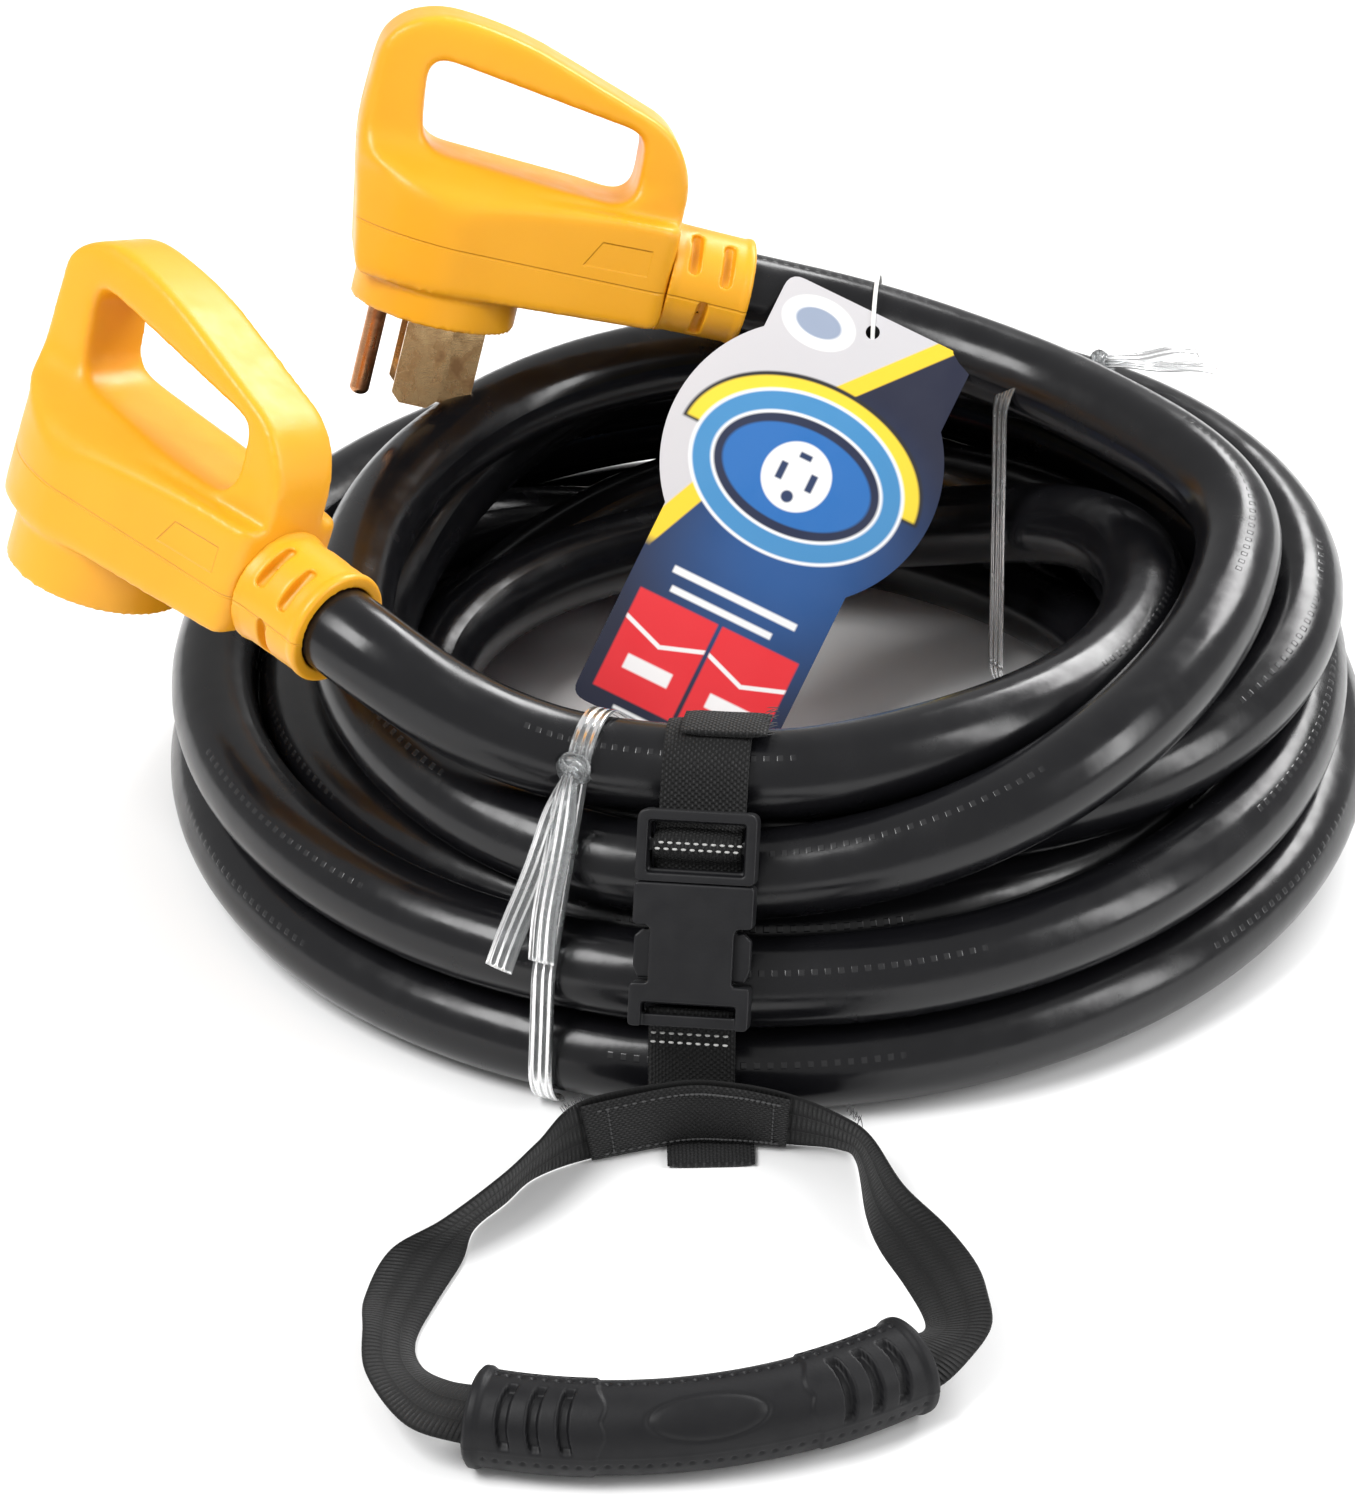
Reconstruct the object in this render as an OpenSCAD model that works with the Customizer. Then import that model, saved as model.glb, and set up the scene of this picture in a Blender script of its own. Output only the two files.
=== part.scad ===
// Shore power cord for a recreational vehicle: a heavy four-conductor cord wound into a coil,
// with a four-blade plug and a four-way socket that each have a D-shaped pull handle, held by
// a webbing strap with a side-release buckle and a carry loop.
// Origin on the floor at the coil's axis, +Z up, the strap and its buckle on the -Y side.

/* [Cord] */
// Outside diameter of the cord jacket
cord_d = 26.6; // [24:0.2:28]
// Radius of the coil at the middle of its outermost turn on the floor
coil_r = 170; // [165:1:175]
// Radius of the coil at the middle of its innermost turn
coil_inner_r = 114; // [112:1:120]
// Height of the middle of the topmost strand
coil_top_z = 92; // [90:1:94]

/* [Heads] */
// Distance from the contact face's middle to the rear wall of the moulded body
head_len = 71; // [70:1:73]
// Height of the pull handle's top above the contact face
head_h = 96.5; // [95:0.5:99]
// Width of the body across the contacts
head_w = 59; // [56:1:62]
// Width of the body's rear wall
head_rear_w = 38; // [37:1:42]
// Width of the pull handle's bar
grip_bar_w = 24; // [22:1:28]
// Radius of the plug's round boss
plug_boss_r = 27; // [26:0.5:28]
// Radius of the socket's round boss
socket_boss_r = 28; // [27:0.5:28.5]
// Length of the strain relief behind the body
relief_len = 27; // [24:1:32]

/* [Contacts] */
// Width of the flat blades
blade_w = 15; // [13:0.5:16]
// Thickness of the flat blades
blade_t = 1.7; // [1.5:0.1:2]
// Length of the flat blades outside the face
blade_len = 30; // [26:1:32]
// Diameter of the round ground pin
ground_d = 6.4; // [6:0.1:7]
// Length of the ground pin outside the face
ground_len = 33; // [30:1:36]
// Distance of each hot blade from the middle plane
hot_y = 11; // [10:0.5:12]

/* [Strap] */
// Width of the webbing
web_w = 25.4; // [24:0.2:26]
// Thickness of the webbing
web_t = 1.8; // [1.4:0.1:2]
// Width of the side-release buckle
buckle_w = 34.5; // [34:0.5:37]
// Thickness of the side-release buckle
buckle_t = 11; // [10.5:0.5:12]

/* [Carry loop] */
// Diameter of the moulded grip
grip_d = 26; // [24:0.5:28]
// Angle of the arc that the grip bends through
grip_arc = 52; // [48:1:56]
// Radius of the grip's bend
grip_bend_r = 134; // [130:1:138]

/* [Hang tag] */
// Length of the tag
tag_len = 154; // [145:1:156]
// Width of the tag's foot
tag_w = 66; // [60:1:70]
// Width of the tag at its round middle
tag_belly_w = 92; // [88:1:96]

/* [Hidden] */
$fn = 48;
gap = 0.3;
cord_r = cord_d / 2;
wall_gap = 0.8;

// ---- plain geometry helpers ----

// Middle part of a corner softened over a distance c, as a quadratic curve
function soft_corner(a, p, b, c, steps = 5) =
    let (u = (a - p) / norm(a - p), v = (b - p) / norm(b - p))
    [for (i = [0:steps]) let (s = i / steps)
        p + u * c * pow(1 - s, 2) + v * c * pow(s, 2)];

// Closed outline from corners [x, y, softening distance]
function soft_outline(corners) =
    let (n = len(corners))
    [for (i = [0:n - 1])
        let (
            p = corners[i],
            a = corners[(i + n - 1) % n],
            b = corners[(i + 1) % n]
        )
        for (q = soft_corner([a[0], a[1]], [p[0], p[1]], [b[0], b[1]], p[2])) q];

// Two stretches of a path joined without repeating their common point
function joined(first, second) = concat(first, [for (i = [1:len(second) - 1]) second[i]]);

// Direction of the outward normal of an edge of an anticlockwise outline
function edge_angle(a, b) = atan2(a[0] - b[0], b[1] - a[1]);

// Line pulled tight at distance d round a convex set of strand middles
function taut_outline(middles, d, steps = 8) =
    let (n = len(middles))
    [for (i = [0:n - 1])
        let (
            p = middles[i],
            a = edge_angle(middles[(i + n - 1) % n], p),
            turn = (edge_angle(p, middles[(i + 1) % n]) - a + 360) % 360
        )
        for (s = [0:steps]) p + d * [cos(a + turn * s / steps), sin(a + turn * s / steps)]];

// Points of a cubic curve
function cubic(p0, p1, p2, p3, steps) =
    [for (i = [0:steps]) let (s = i / steps)
        p0 * pow(1 - s, 3) + p1 * 3 * s * pow(1 - s, 2) + p2 * 3 * pow(s, 2) * (1 - s) + p3 * pow(s, 3)];

// Rotation by [roll, pitch, yaw], as rotate() applies it
function turned(p, r) =
    let (
        a = [p[0], p[1] * cos(r[0]) - p[2] * sin(r[0]), p[1] * sin(r[0]) + p[2] * cos(r[0])],
        b = [a[0] * cos(r[1]) + a[2] * sin(r[1]), a[1], a[2] * cos(r[1]) - a[0] * sin(r[1])]
    )
    [b[0] * cos(r[2]) - b[1] * sin(r[2]), b[0] * sin(r[2]) + b[1] * cos(r[2]), b[2]];

// Unit vector along a route at point i
function heading(route, i) =
    let (
        n = len(route),
        d = route[min(i + 1, n - 1)] - route[max(i - 1, 0)]
    )
    d / norm(d);

// Tube swept along a route as one polyhedron; the rings stand square to the route
module tube(route, r, sides = 12) {
    n = len(route);
    points = [for (i = [0:n - 1])
        let (
            t = heading(route, i),
            side = cross(t, [0, 0, 1]),
            u = side / norm(side),
            v = cross(u, t)
        )
        for (k = [0:sides - 1])
            route[i] + r * (u * cos(360 * k / sides) + v * sin(360 * k / sides))];
    walls = [for (i = [0:n - 2], k = [0:sides - 1])
        let (a = i * sides + k, b = i * sides + (k + 1) % sides)
        [a, b, b + sides, a + sides]];
    first_cap = [for (k = [sides - 1:-1:0]) k];
    last_cap = [for (k = [0:sides - 1]) (n - 1) * sides + k];
    polyhedron(points, concat(walls, [first_cap, last_cap]));
}

// Flat band of a given thickness along a plan curve, standing on its edge
module standing_band(path, thickness, height) {
    n = len(path);
    sides = [for (i = [0:n - 1])
        let (
            d = path[min(i + 1, n - 1)] - path[max(i - 1, 0)],
            u = [-d[1], d[0]] / norm(d)
        )
        [path[i] + u * thickness / 2, path[i] - u * thickness / 2]];
    left = [for (s = sides) s[0]];
    right = [for (i = [n - 1:-1:0]) sides[i][1]];
    linear_extrude(height) polygon(concat(left, right));
}

// Upright profile in x and z, extruded evenly to both sides of y = 0
module side_profile(width) {
    rotate([90, 0, 0])
        translate([0, 0, -width / 2])
            linear_extrude(width) children();
}

// ---- coil ----

// Middles of the outer strands of the bundle, as [radius, height]
bundle = [
    [coil_inner_r, cord_r],
    [coil_r, cord_r],
    [coil_r - 4, 42],
    [coil_inner_r + 19, coil_top_z],
    [coil_inner_r, 74]
];

// The solid ring stops a little under the strap, clear of the plug's blades
coil_bundle = [bundle[0], bundle[1], bundle[2], bundle[3] - [0, 3.2], bundle[4]];

module cord_coil() {
    color("#1b1c1e")
        rotate_extrude($fn = 96)
            polygon(taut_outline(coil_bundle, cord_r));
}

// Closed band pulled round some strands at an angle about the coil's axis
module bundle_band(strands, angle, width, clearance, thickness) {
    rotate([90, 0, angle])
        translate([0, 0, -width / 2])
            linear_extrude(width)
                difference() {
                    polygon(taut_outline(strands, cord_r + clearance + thickness));
                    polygon(taut_outline(strands, cord_r + clearance));
                }
}

// ---- heads: local frame with the contacts towards -Z, the cord leaving along +X ----

plug_at = [-114, 70.5, 134.6];
plug_turn = [-13, 15.5, 9];
socket_at = [-194, -65, 114.6];
socket_turn = [-17, 8.5, -38.5];
rear_post_w = 22;
relief_z = 28;
body_z = 11;
core_r = 23.5;
core_top_z = 40;
duct_r = 9.5;
wire_r = 3.5;
wire_pitch = 4;
jacket_x = head_len + 3;
ground_x = -17;
neutral_x = 11.5;
plug_face_z = 0;
socket_face_z = -5.5;

module place_plug() {
    translate(plug_at) rotate(plug_turn) children();
}

module place_socket() {
    translate(socket_at) rotate(socket_turn) children();
}

// Side view of the body and its handle
head_side = soft_outline([
    [-28.5, body_z, 2], [-32.5, 32, 9], [-37.5, 56, 10], [-36, 88, 10], [-20, head_h, 8],
    [6, head_h - 2, 16], [62, 76, 8], [head_len, 61, 7], [head_len, body_z + 2, 3]
]);

// Side view of the finger opening
head_window = soft_outline([
    [-21, 83.5, 9], [53.5, 73.5, 6], [55, 49, 9], [-17, 53, 9]
]);

// View along the cord: broad skirt, sloping saddle and narrow handle
head_end_view = soft_outline([
    [-head_w / 2, 0, 1], [head_w / 2, 0, 1], [head_w / 2, 42, 6], [grip_bar_w / 2, 53, 6],
    [grip_bar_w / 2, head_h + 1, 7], [-grip_bar_w / 2, head_h + 1, 7],
    [-grip_bar_w / 2, 53, 6], [-head_w / 2, 42, 6]
]);

// Plan of the skirt: oval in front, tapering to the rear wall
skirt_plan = concat(
    [for (a = [90:7.5:270]) [37 * cos(a), head_w / 2 * sin(a)]],
    soft_corner([0, -head_w / 2], [head_len, -head_rear_w / 2], [head_len, 0], 5),
    soft_corner([head_len, 0], [head_len, head_rear_w / 2], [0, head_w / 2], 5)
);

// Plan of the handle: round nose, straight sides
handle_plan = concat(
    [for (a = [90:7.5:270]) [-12 + 26 * cos(a), 26 * sin(a)]],
    [[head_len, -rear_post_w / 2], [head_len, rear_post_w / 2]]
);

module head_shell(face_z, boss_r) {
    intersection() {
        side_profile(head_w + 2) polygon(head_side);
        translate([0, 0, body_z]) linear_extrude(36) polygon(skirt_plan);
        rotate([90, 0, 90]) translate([0, 0, -60]) linear_extrude(140) polygon(head_end_view);
    }
    intersection() {
        side_profile(head_w + 2)
            difference() {
                polygon(head_side);
                polygon(head_window);
            }
        translate([0, 0, 46]) linear_extrude(60) polygon(handle_plan);
        rotate([90, 0, 90]) translate([0, 0, -60]) linear_extrude(140) polygon(head_end_view);
    }
    translate([0, 0, face_z]) cylinder(h = body_z - face_z + 1, r = boss_r, $fn = 72);
}

// Moulded body with a pocket for its core and a duct for the conductors
module head_body(face_z, boss_r) {
    difference() {
        head_shell(face_z, boss_r);
        translate([0, 0, face_z - 1]) cylinder(h = core_top_z - face_z + 1 + gap, r = core_r + gap);
        translate([0, 0, relief_z]) rotate([0, 90, 0]) cylinder(h = head_len + 1, r = duct_r);
    }
}

// Ribbed sleeve behind the body, with two staggered rows of slots
module head_relief() {
    slot_rows = [[7, 45], [7, 135], [18, 38], [18, 142], [12.5, -35], [12.5, -145]];
    translate([head_len, 0, relief_z])
        difference() {
            rotate([0, 90, 0])
                rotate_extrude()
                    polygon([
                        [cord_r + gap, 0], [18.4, 0], [17.6, 3], [17.2, relief_len - 3],
                        [17.6, relief_len - 2.5], [17.6, relief_len - 0.8],
                        [16.8, relief_len], [cord_r + gap, relief_len]
                    ]);
            for (slot = slot_rows)
                rotate([slot[1], 0, 0])
                    translate([slot[0], 19, 0])
                        rotate([90, 0, 0])
                            linear_extrude(5)
                                polygon(soft_outline([
                                    [-1.8, -7.5, 1.7], [1.8, -7.5, 1.7], [1.8, 7.5, 1.7], [-1.8, 7.5, 1.7]
                                ]));
        }
}

// One insulated conductor in the duct, at a quarter of its square
module conductor(side_y, side_z, tint) {
    color(tint)
        translate([core_r + 1, side_y * wire_pitch, relief_z + side_z * wire_pitch])
            rotate([0, 90, 0])
                cylinder(h = jacket_x - core_r - 1, r = wire_r, $fn = 24);
}

// ---- plug ----

module plug_body() {
    color("#fab924") place_plug() head_body(plug_face_z, plug_boss_r);
}

module plug_relief() {
    color("#fab924") place_plug() head_relief();
}

// Insulating core that holds the four contacts
module plug_core() {
    color("#26272a")
        place_plug()
            difference() {
                translate([0, 0, plug_face_z]) cylinder(h = core_top_z, r = core_r, $fn = 72);
                blade_slots(20 + gap, blade_w + 0.2, blade_t + 0.2);
                translate([ground_x, 0, -1]) cylinder(h = 21 + gap, d = ground_d + 0.2, $fn = 32);
            }
}

// The three blade seats, open at the face
module blade_slots(depth, width, thickness) {
    for (seat = [[0, hot_y], [0, -hot_y], [neutral_x, 0]])
        translate([seat[0] - width / 2, seat[1] - thickness / 2, -1])
            cube([width, thickness, depth + 1]);
}

// Flat blade with a bevelled tip
module blade(x, y) {
    tip = 3;
    color("#a97b4f")
        place_plug()
            translate([x, y, 0])
                side_profile(blade_t)
                    polygon([
                        [-blade_w / 2, 20], [-blade_w / 2, tip - blade_len],
                        [tip - blade_w / 2, -blade_len], [blade_w / 2 - tip, -blade_len],
                        [blade_w / 2, tip - blade_len], [blade_w / 2, 20]
                    ]);
}

module hot_blade_front() {
    blade(0, -hot_y);
}

module hot_blade_rear() {
    blade(0, hot_y);
}

module neutral_blade() {
    blade(neutral_x, 0);
}

// Round pin with a domed end
module ground_pin() {
    r = ground_d / 2;
    color("#9c6a3f")
        place_plug()
            translate([ground_x, 0, 0])
                rotate_extrude($fn = 40)
                    polygon(concat(
                        [[0, 20], [0, -ground_len]],
                        [for (a = [10:10:90]) [r * sin(a), -ground_len + 2.4 * (1 - cos(a))]],
                        [[r, 20]]
                    ));
}

module plug_wire_black() {
    place_plug() conductor(1, 1, "#232323");
}

module plug_wire_red() {
    place_plug() conductor(-1, 1, "#b3261c");
}

module plug_wire_white() {
    place_plug() conductor(1, -1, "#e8e6df");
}

module plug_wire_green() {
    place_plug() conductor(-1, -1, "#2c7a3f");
}

// ---- socket ----

module socket_body() {
    color("#fab924") place_socket() head_body(socket_face_z, socket_boss_r);
}

module socket_relief() {
    color("#fab924") place_socket() head_relief();
}

// Insulating core with the four openings and a chamber behind each
module socket_core() {
    color("#26272a")
        place_socket()
            difference() {
                translate([0, 0, socket_face_z])
                    cylinder(h = core_top_z - socket_face_z, r = core_r, $fn = 72);
                translate([0, 0, socket_face_z]) blade_slots(9, blade_w + 1, blade_t + 1);
                for (seat = [[0, hot_y], [0, -hot_y], [neutral_x, 0]])
                    translate([seat[0] - 9, seat[1] - 3.2, 3 - gap])
                        cube([18, 6.4, 27 + 2 * gap]);
                translate([ground_x, 0, socket_face_z - 1]) cylinder(h = 10, d = ground_d + 1.2);
                translate([ground_x, 0, 3 - gap])
                    rotate([0, 0, 45])
                        cylinder(h = 27 + 2 * gap, r = 5.4);
            }
}

// Spring contact that grips a flat blade between two leaves
module blade_contact(x, y) {
    color("#b58a52")
        place_socket()
            translate([x, y, 3])
                difference() {
                    translate([-8.6, -2.8, 0]) cube([17.2, 5.6, 27]);
                    translate([-9, -blade_t / 2 - 0.1, -1]) cube([18, blade_t + 0.2, 25]);
                    translate([-9, -1.9, 4]) cube([18, 3.8, 14]);
                }
}

module hot_contact_front() {
    blade_contact(0, -hot_y);
}

module hot_contact_rear() {
    blade_contact(0, hot_y);
}

module neutral_contact() {
    blade_contact(neutral_x, 0);
}

// Sleeve that takes the ground pin
module ground_contact() {
    color("#b58a52")
        place_socket()
            translate([ground_x, 0, 3])
                difference() {
                    cylinder(h = 27, r = 5);
                    translate([0, 0, -1]) cylinder(h = 26, d = ground_d + 0.2, $fn = 40);
                }
}

module socket_wire_black() {
    place_socket() conductor(1, 1, "#232323");
}

module socket_wire_red() {
    place_socket() conductor(-1, 1, "#b3261c");
}

module socket_wire_white() {
    place_socket() conductor(1, -1, "#e8e6df");
}

module socket_wire_green() {
    place_socket() conductor(-1, -1, "#2c7a3f");
}

// ---- leads: from each head down into the coil ----

plug_route = concat(
    [for (x = [jacket_x, 98, 112]) plug_at + turned([x, 0, relief_z], plug_turn)],
    [[17, 94, 127], [36, 92, 122.5], [56, 87, 117], [76, 80, 111], [96, 68, 106], [112, 54, 101]]
);

socket_route = concat(
    [for (x = [jacket_x, 98, 110]) socket_at + turned([x, 0, relief_z], socket_turn)],
    [[-75, -129, 109], [-55, -132, 100], [-34, -133, 93], [-20, -135, 91]]
);

module plug_lead() {
    color("#1b1c1e") tube(plug_route, cord_r);
}

module socket_lead() {
    color("#1b1c1e") tube(socket_route, cord_r);
}

// ---- strap ----

// Buckle frame: x across, z up along the strap's face, -y outwards
buckle_tilt = 30;
buckle_at = [0, -174, 68.4];
parting_z = 10.4;
buckle_top = 31;
waist_top = -2;
waist_bottom = -18.6;
waist_depth = 5.2;
arm_root_z = 6;
arm_root_x = 10.4;

module place_buckle() {
    translate(buckle_at) rotate([-buckle_tilt, 0, 0]) children();
}

// Webbing from the buckle's lower bar, under the bundle, up its inside and over its top
module strap_webbing() {
    color("#202124")
        difference() {
            bundle_band(bundle, -90, web_w, wall_gap, web_t);
            place_buckle()
                translate([-30, -20, -buckle_top + 3])
                    cube([60, 40, 2 * buckle_top - 13]);
        }
}

// Folded-back end of the webbing over the top strand
module strap_end() {
    color("#202124")
        translate([-8, -137, coil_top_z + cord_r + wall_gap + web_t + 0.7])
            rotate([-8, 0, 0])
                cube([web_w, 15, web_t]);
}

// Loose tail of the webbing under the carry loop
module strap_tail() {
    color("#202124")
        translate([-5, -202, 0.2])
            rotate([0, 0, 8])
                cube([web_w, 16, web_t]);
}

// Ladder-lock half: frame, middle bar and the guide that enters the other half
module buckle_male() {
    half = buckle_w / 2;
    color("#17181a")
        place_buckle() {
            difference() {
                side_profile(buckle_t)
                    difference() {
                        polygon(soft_outline([
                            [-half, parting_z, 2], [half, parting_z, 2],
                            [half, buckle_top, 3], [-half, buckle_top, 3]
                        ]));
                        polygon(soft_outline([
                            [-13.6, 14, 1], [13.6, 14, 1], [13.6, 19.2, 1], [-13.6, 19.2, 1]
                        ]));
                        polygon(soft_outline([
                            [-13.6, 22.6, 1], [13.6, 22.6, 1], [13.6, 27.4, 1], [-13.6, 27.4, 1]
                        ]));
                    }
                translate([-14, -buckle_t / 2 - 1, 13]) cube([28, 4, 15]);
                translate([-web_w / 2 - 0.3, 2.6, 13]) cube([web_w + 0.6, 4, 19]);
            }
            translate([-3, -2.5, -12]) cube([6, 5, parting_z + 12]);
            translate([-arm_root_x - 2.2, -2.5, arm_root_z + 3.4]) cube([2 * arm_root_x + 4.4, 5, 2]);
        }
}

// Sprung arm with the pad that a finger presses; its root is the flexing point
module buckle_arm(side) {
    color("#17181a")
        place_buckle()
            mirror([side < 0 ? 1 : 0, 0, 0])
                side_profile(5)
                    polygon([
                        [arm_root_x - 1.8, arm_root_z + 3.1], [arm_root_x - 1.8, -6], [arm_root_x + 0.4, -17.4],
                        [15.4, -17.4], [16.8, -14], [16.8, -5.5], [14.6, -3.4], [12.6, -3.4],
                        [arm_root_x + 1.4, 0], [arm_root_x + 1.8, arm_root_z + 3.1]
                    ]);
}

module buckle_arm_left() {
    buckle_arm(-1);
}

module buckle_arm_right() {
    buckle_arm(1);
}

// Receiving half: waisted shell with a throat for the arms and a webbing bar between two feet
module buckle_female() {
    half = buckle_w / 2;
    foot_top = -24.6;
    color("#17181a")
        place_buckle()
            difference() {
                side_profile(buckle_t)
                    polygon(soft_outline([
                        [-half, -buckle_top, 1.5], [half, -buckle_top, 1.5],
                        [half, waist_bottom, 1.5], [half - waist_depth, waist_bottom, 1],
                        [half - waist_depth, waist_top, 2], [half, waist_top, 1.5],
                        [half, parting_z - 0.2, 1.5], [-half, parting_z - 0.2, 1.5],
                        [-half, waist_top, 1.5], [-half + waist_depth, waist_top, 2],
                        [-half + waist_depth, waist_bottom, 1], [-half, waist_bottom, 1.5]
                    ]));
                translate([-14.4, -3, -18.2]) cube([28.8, 6, 40]);
                translate([-20, -3, -18.2]) cube([40, 6, 18.2 + waist_top]);
                translate([-13.6, -8, foot_top - 3]) cube([27.2, 16, 3]);
                translate([-13.6, -8, -buckle_top - 1]) cube([27.2, 5.4, 8]);
            }
}

// ---- carry loop ----

loop_z = 2.5;
loop_h = 14;
loop_t = 3.4;
grip_turn = 16.5;
grip_mid = [20, -327];
grip_z = grip_d / 2;
grip_centre = grip_mid + grip_bend_r * [-sin(grip_turn), cos(grip_turn)];

// Point on the grip's bend, at an angle from its middle
function grip_point(a) =
    grip_centre + grip_bend_r * [sin(grip_turn + a), -cos(grip_turn + a)];

// Direction along the grip's bend
function grip_heading(a) = [cos(grip_turn + a), sin(grip_turn + a)];

left_end = grip_point(-grip_arc / 2);
right_end = grip_point(grip_arc / 2);

left_path = joined(
    cubic([-26, -191], [-44, -196], [-54, -220], [-74, -258], 8),
    cubic([-74, -258], [-85, -282], left_end - 34 * grip_heading(-grip_arc / 2) + [0, 4], left_end, 8)
);

right_path = joined(
    cubic([30, -190], [45, -197], [60, -222], [78, -248], 8),
    cubic([78, -248], [92, -272], right_end + 22 * grip_heading(grip_arc / 2), right_end, 8)
);

module loop_centre() {
    color("#1c1d1f")
        translate([0, 0, loop_z])
            standing_band(cubic([-26, -191], [-8, -192.5], [12, -192.5], [30, -190], 8), loop_t, loop_h);
}

module loop_left() {
    color("#1c1d1f") translate([0, 0, loop_z]) standing_band(left_path, loop_t, loop_h);
}

module loop_right() {
    color("#1c1d1f") translate([0, 0, loop_z]) standing_band(right_path, loop_t, loop_h);
}

// Bent grip with raised end panels and a bore for the webbing
module handle_grip() {
    difference() {
        color("#18191b")
            translate([grip_centre[0], grip_centre[1], grip_z])
                rotate([0, 0, grip_turn - 90 - grip_arc / 2]) {
                    bent_bar(grip_arc, grip_d / 2 - 1.2);
                    for (start = [0, grip_arc - 15])
                        rotate([0, 0, start]) bent_bar(15, grip_d / 2 - 0.1);
                }
        translate([grip_centre[0], grip_centre[1], loop_z + loop_h / 2])
            rotate([0, 0, grip_turn - 91 - grip_arc / 2])
                rotate_extrude(angle = grip_arc + 2, $fn = 96)
                    translate([grip_bend_r - loop_t / 2 - gap, -loop_h / 2 - gap])
                        square([loop_t + 2 * gap, loop_h + 2 * gap]);
    }
}

// Round bar bent about the origin
module bent_bar(angle, r) {
    rotate_extrude(angle = angle, $fn = 96) translate([grip_bend_r, 0]) circle(r = r);
}

// Webbing inside the grip
module loop_core() {
    color("#1c1d1f")
        translate([grip_centre[0], grip_centre[1], loop_z])
            rotate([0, 0, grip_turn - 90 - grip_arc / 2])
                rotate_extrude(angle = grip_arc, $fn = 96)
                    translate([grip_bend_r - loop_t / 2, 0])
                        square([loop_t, loop_h]);
}

// ---- hang tag ----

tag_t = 0.6;
tag_top_y = 6;
tag_foot_x = -3;
tag_hole = [29.3, 76.4, 130.6];
fastener_r = 16.6;
wire_loop_r = 0.7;

module place_tag() {
    translate(tag_hole) rotate([0, 0, 4.2]) rotate([56.1, 0, 0]) rotate([0, 0, -25.2]) children();
}

// Card cut from one outline: head with the hole, round middle and long foot
module hang_tag() {
    foot_y = tag_top_y - tag_len;
    color("#1d3f7c")
        place_tag()
            translate([0, 0, -tag_t / 2])
                linear_extrude(tag_t)
                    difference() {
                        union() {
                            tag_panel([-32.5, -60], [34, tag_top_y]);
                            tag_panel([tag_foot_x - tag_w / 2, foot_y], [tag_foot_x + tag_w / 2, -60]);
                            translate([-2, -48]) circle(d = tag_belly_w, $fn = 96);
                        }
                        circle(d = 4.6, $fn = 32);
                    }
}

// Rectangle with round corners between its lowest and highest corner
module tag_panel(low, high) {
    polygon(soft_outline([
        [low[0], low[1], 5], [high[0], low[1], 5], [high[0], high[1], 5], [low[0], high[1], 5]
    ]));
}

module tag_fastener() {
    loop_mid = tag_hole + [0, 15.8, -5.2];
    color("#e9e9e6")
        translate(loop_mid)
            rotate([0, 90, 0])
                rotate_extrude($fn = 72)
                    translate([fastener_r, 0]) circle(r = wire_loop_r, $fn = 16);
}

// ---- ties ----

tie_w = 7;
tie_t = 1.2;
knot_d = 8;

// Middles of the strands that each tie holds, with a lead on top
front_bundle = [bundle[0] + [0, 1], bundle[1] + [0, 1], bundle[2], [137.4, 93.6], bundle[4]];
rear_bundle = [bundle[0] + [0, 1.5], bundle[1] + [0, 1.5], bundle[2], bundle[3], [112.5, 109.5]];

// Knot and three ribbed tails that lie side by side, fanned out from the knot
module tie_tails(angle, place, swing, lean, fan, length) {
    rotate([0, 0, angle])
        translate([place[0], 0, place[1]])
            rotate([0, lean, swing]) {
                sphere(d = knot_d, $fn = 24);
                for (i = [-1:1])
                    rotate([0, 0, fan * i])
                        translate([1, -tie_w / 2, 0.7 * i - tie_t / 2])
                            cube([length - 6 * abs(i), tie_w, tie_t]);
            }
}

module front_tie() {
    color("#d5d8da") {
        bundle_band(front_bundle, -104, tie_w, 1.8, tie_t);
        tie_tails(-104, [154.2, 101], -12, 60, 5, 62);
    }
}

module rear_tie() {
    color("#d5d8da") {
        bundle_band(rear_bundle, 42, tie_w, 2.1, tie_t);
        tie_tails(42, [138, 114.5], -32, 2, 7, 38);
    }
}

cord_coil();
plug_lead();
socket_lead();
plug_body();
plug_relief();
plug_core();
hot_blade_front();
hot_blade_rear();
neutral_blade();
ground_pin();
plug_wire_black();
plug_wire_red();
plug_wire_white();
plug_wire_green();
socket_body();
socket_relief();
socket_core();
hot_contact_front();
hot_contact_rear();
neutral_contact();
ground_contact();
socket_wire_black();
socket_wire_red();
socket_wire_white();
socket_wire_green();
strap_webbing();
strap_end();
strap_tail();
buckle_male();
buckle_arm_left();
buckle_arm_right();
buckle_female();
loop_centre();
loop_left();
loop_right();
loop_core();
handle_grip();
hang_tag();
tag_fastener();
front_tie();
rear_tie();
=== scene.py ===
import math

import bmesh
import bpy
import numpy as np
from mathutils import Matrix, Vector


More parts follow.
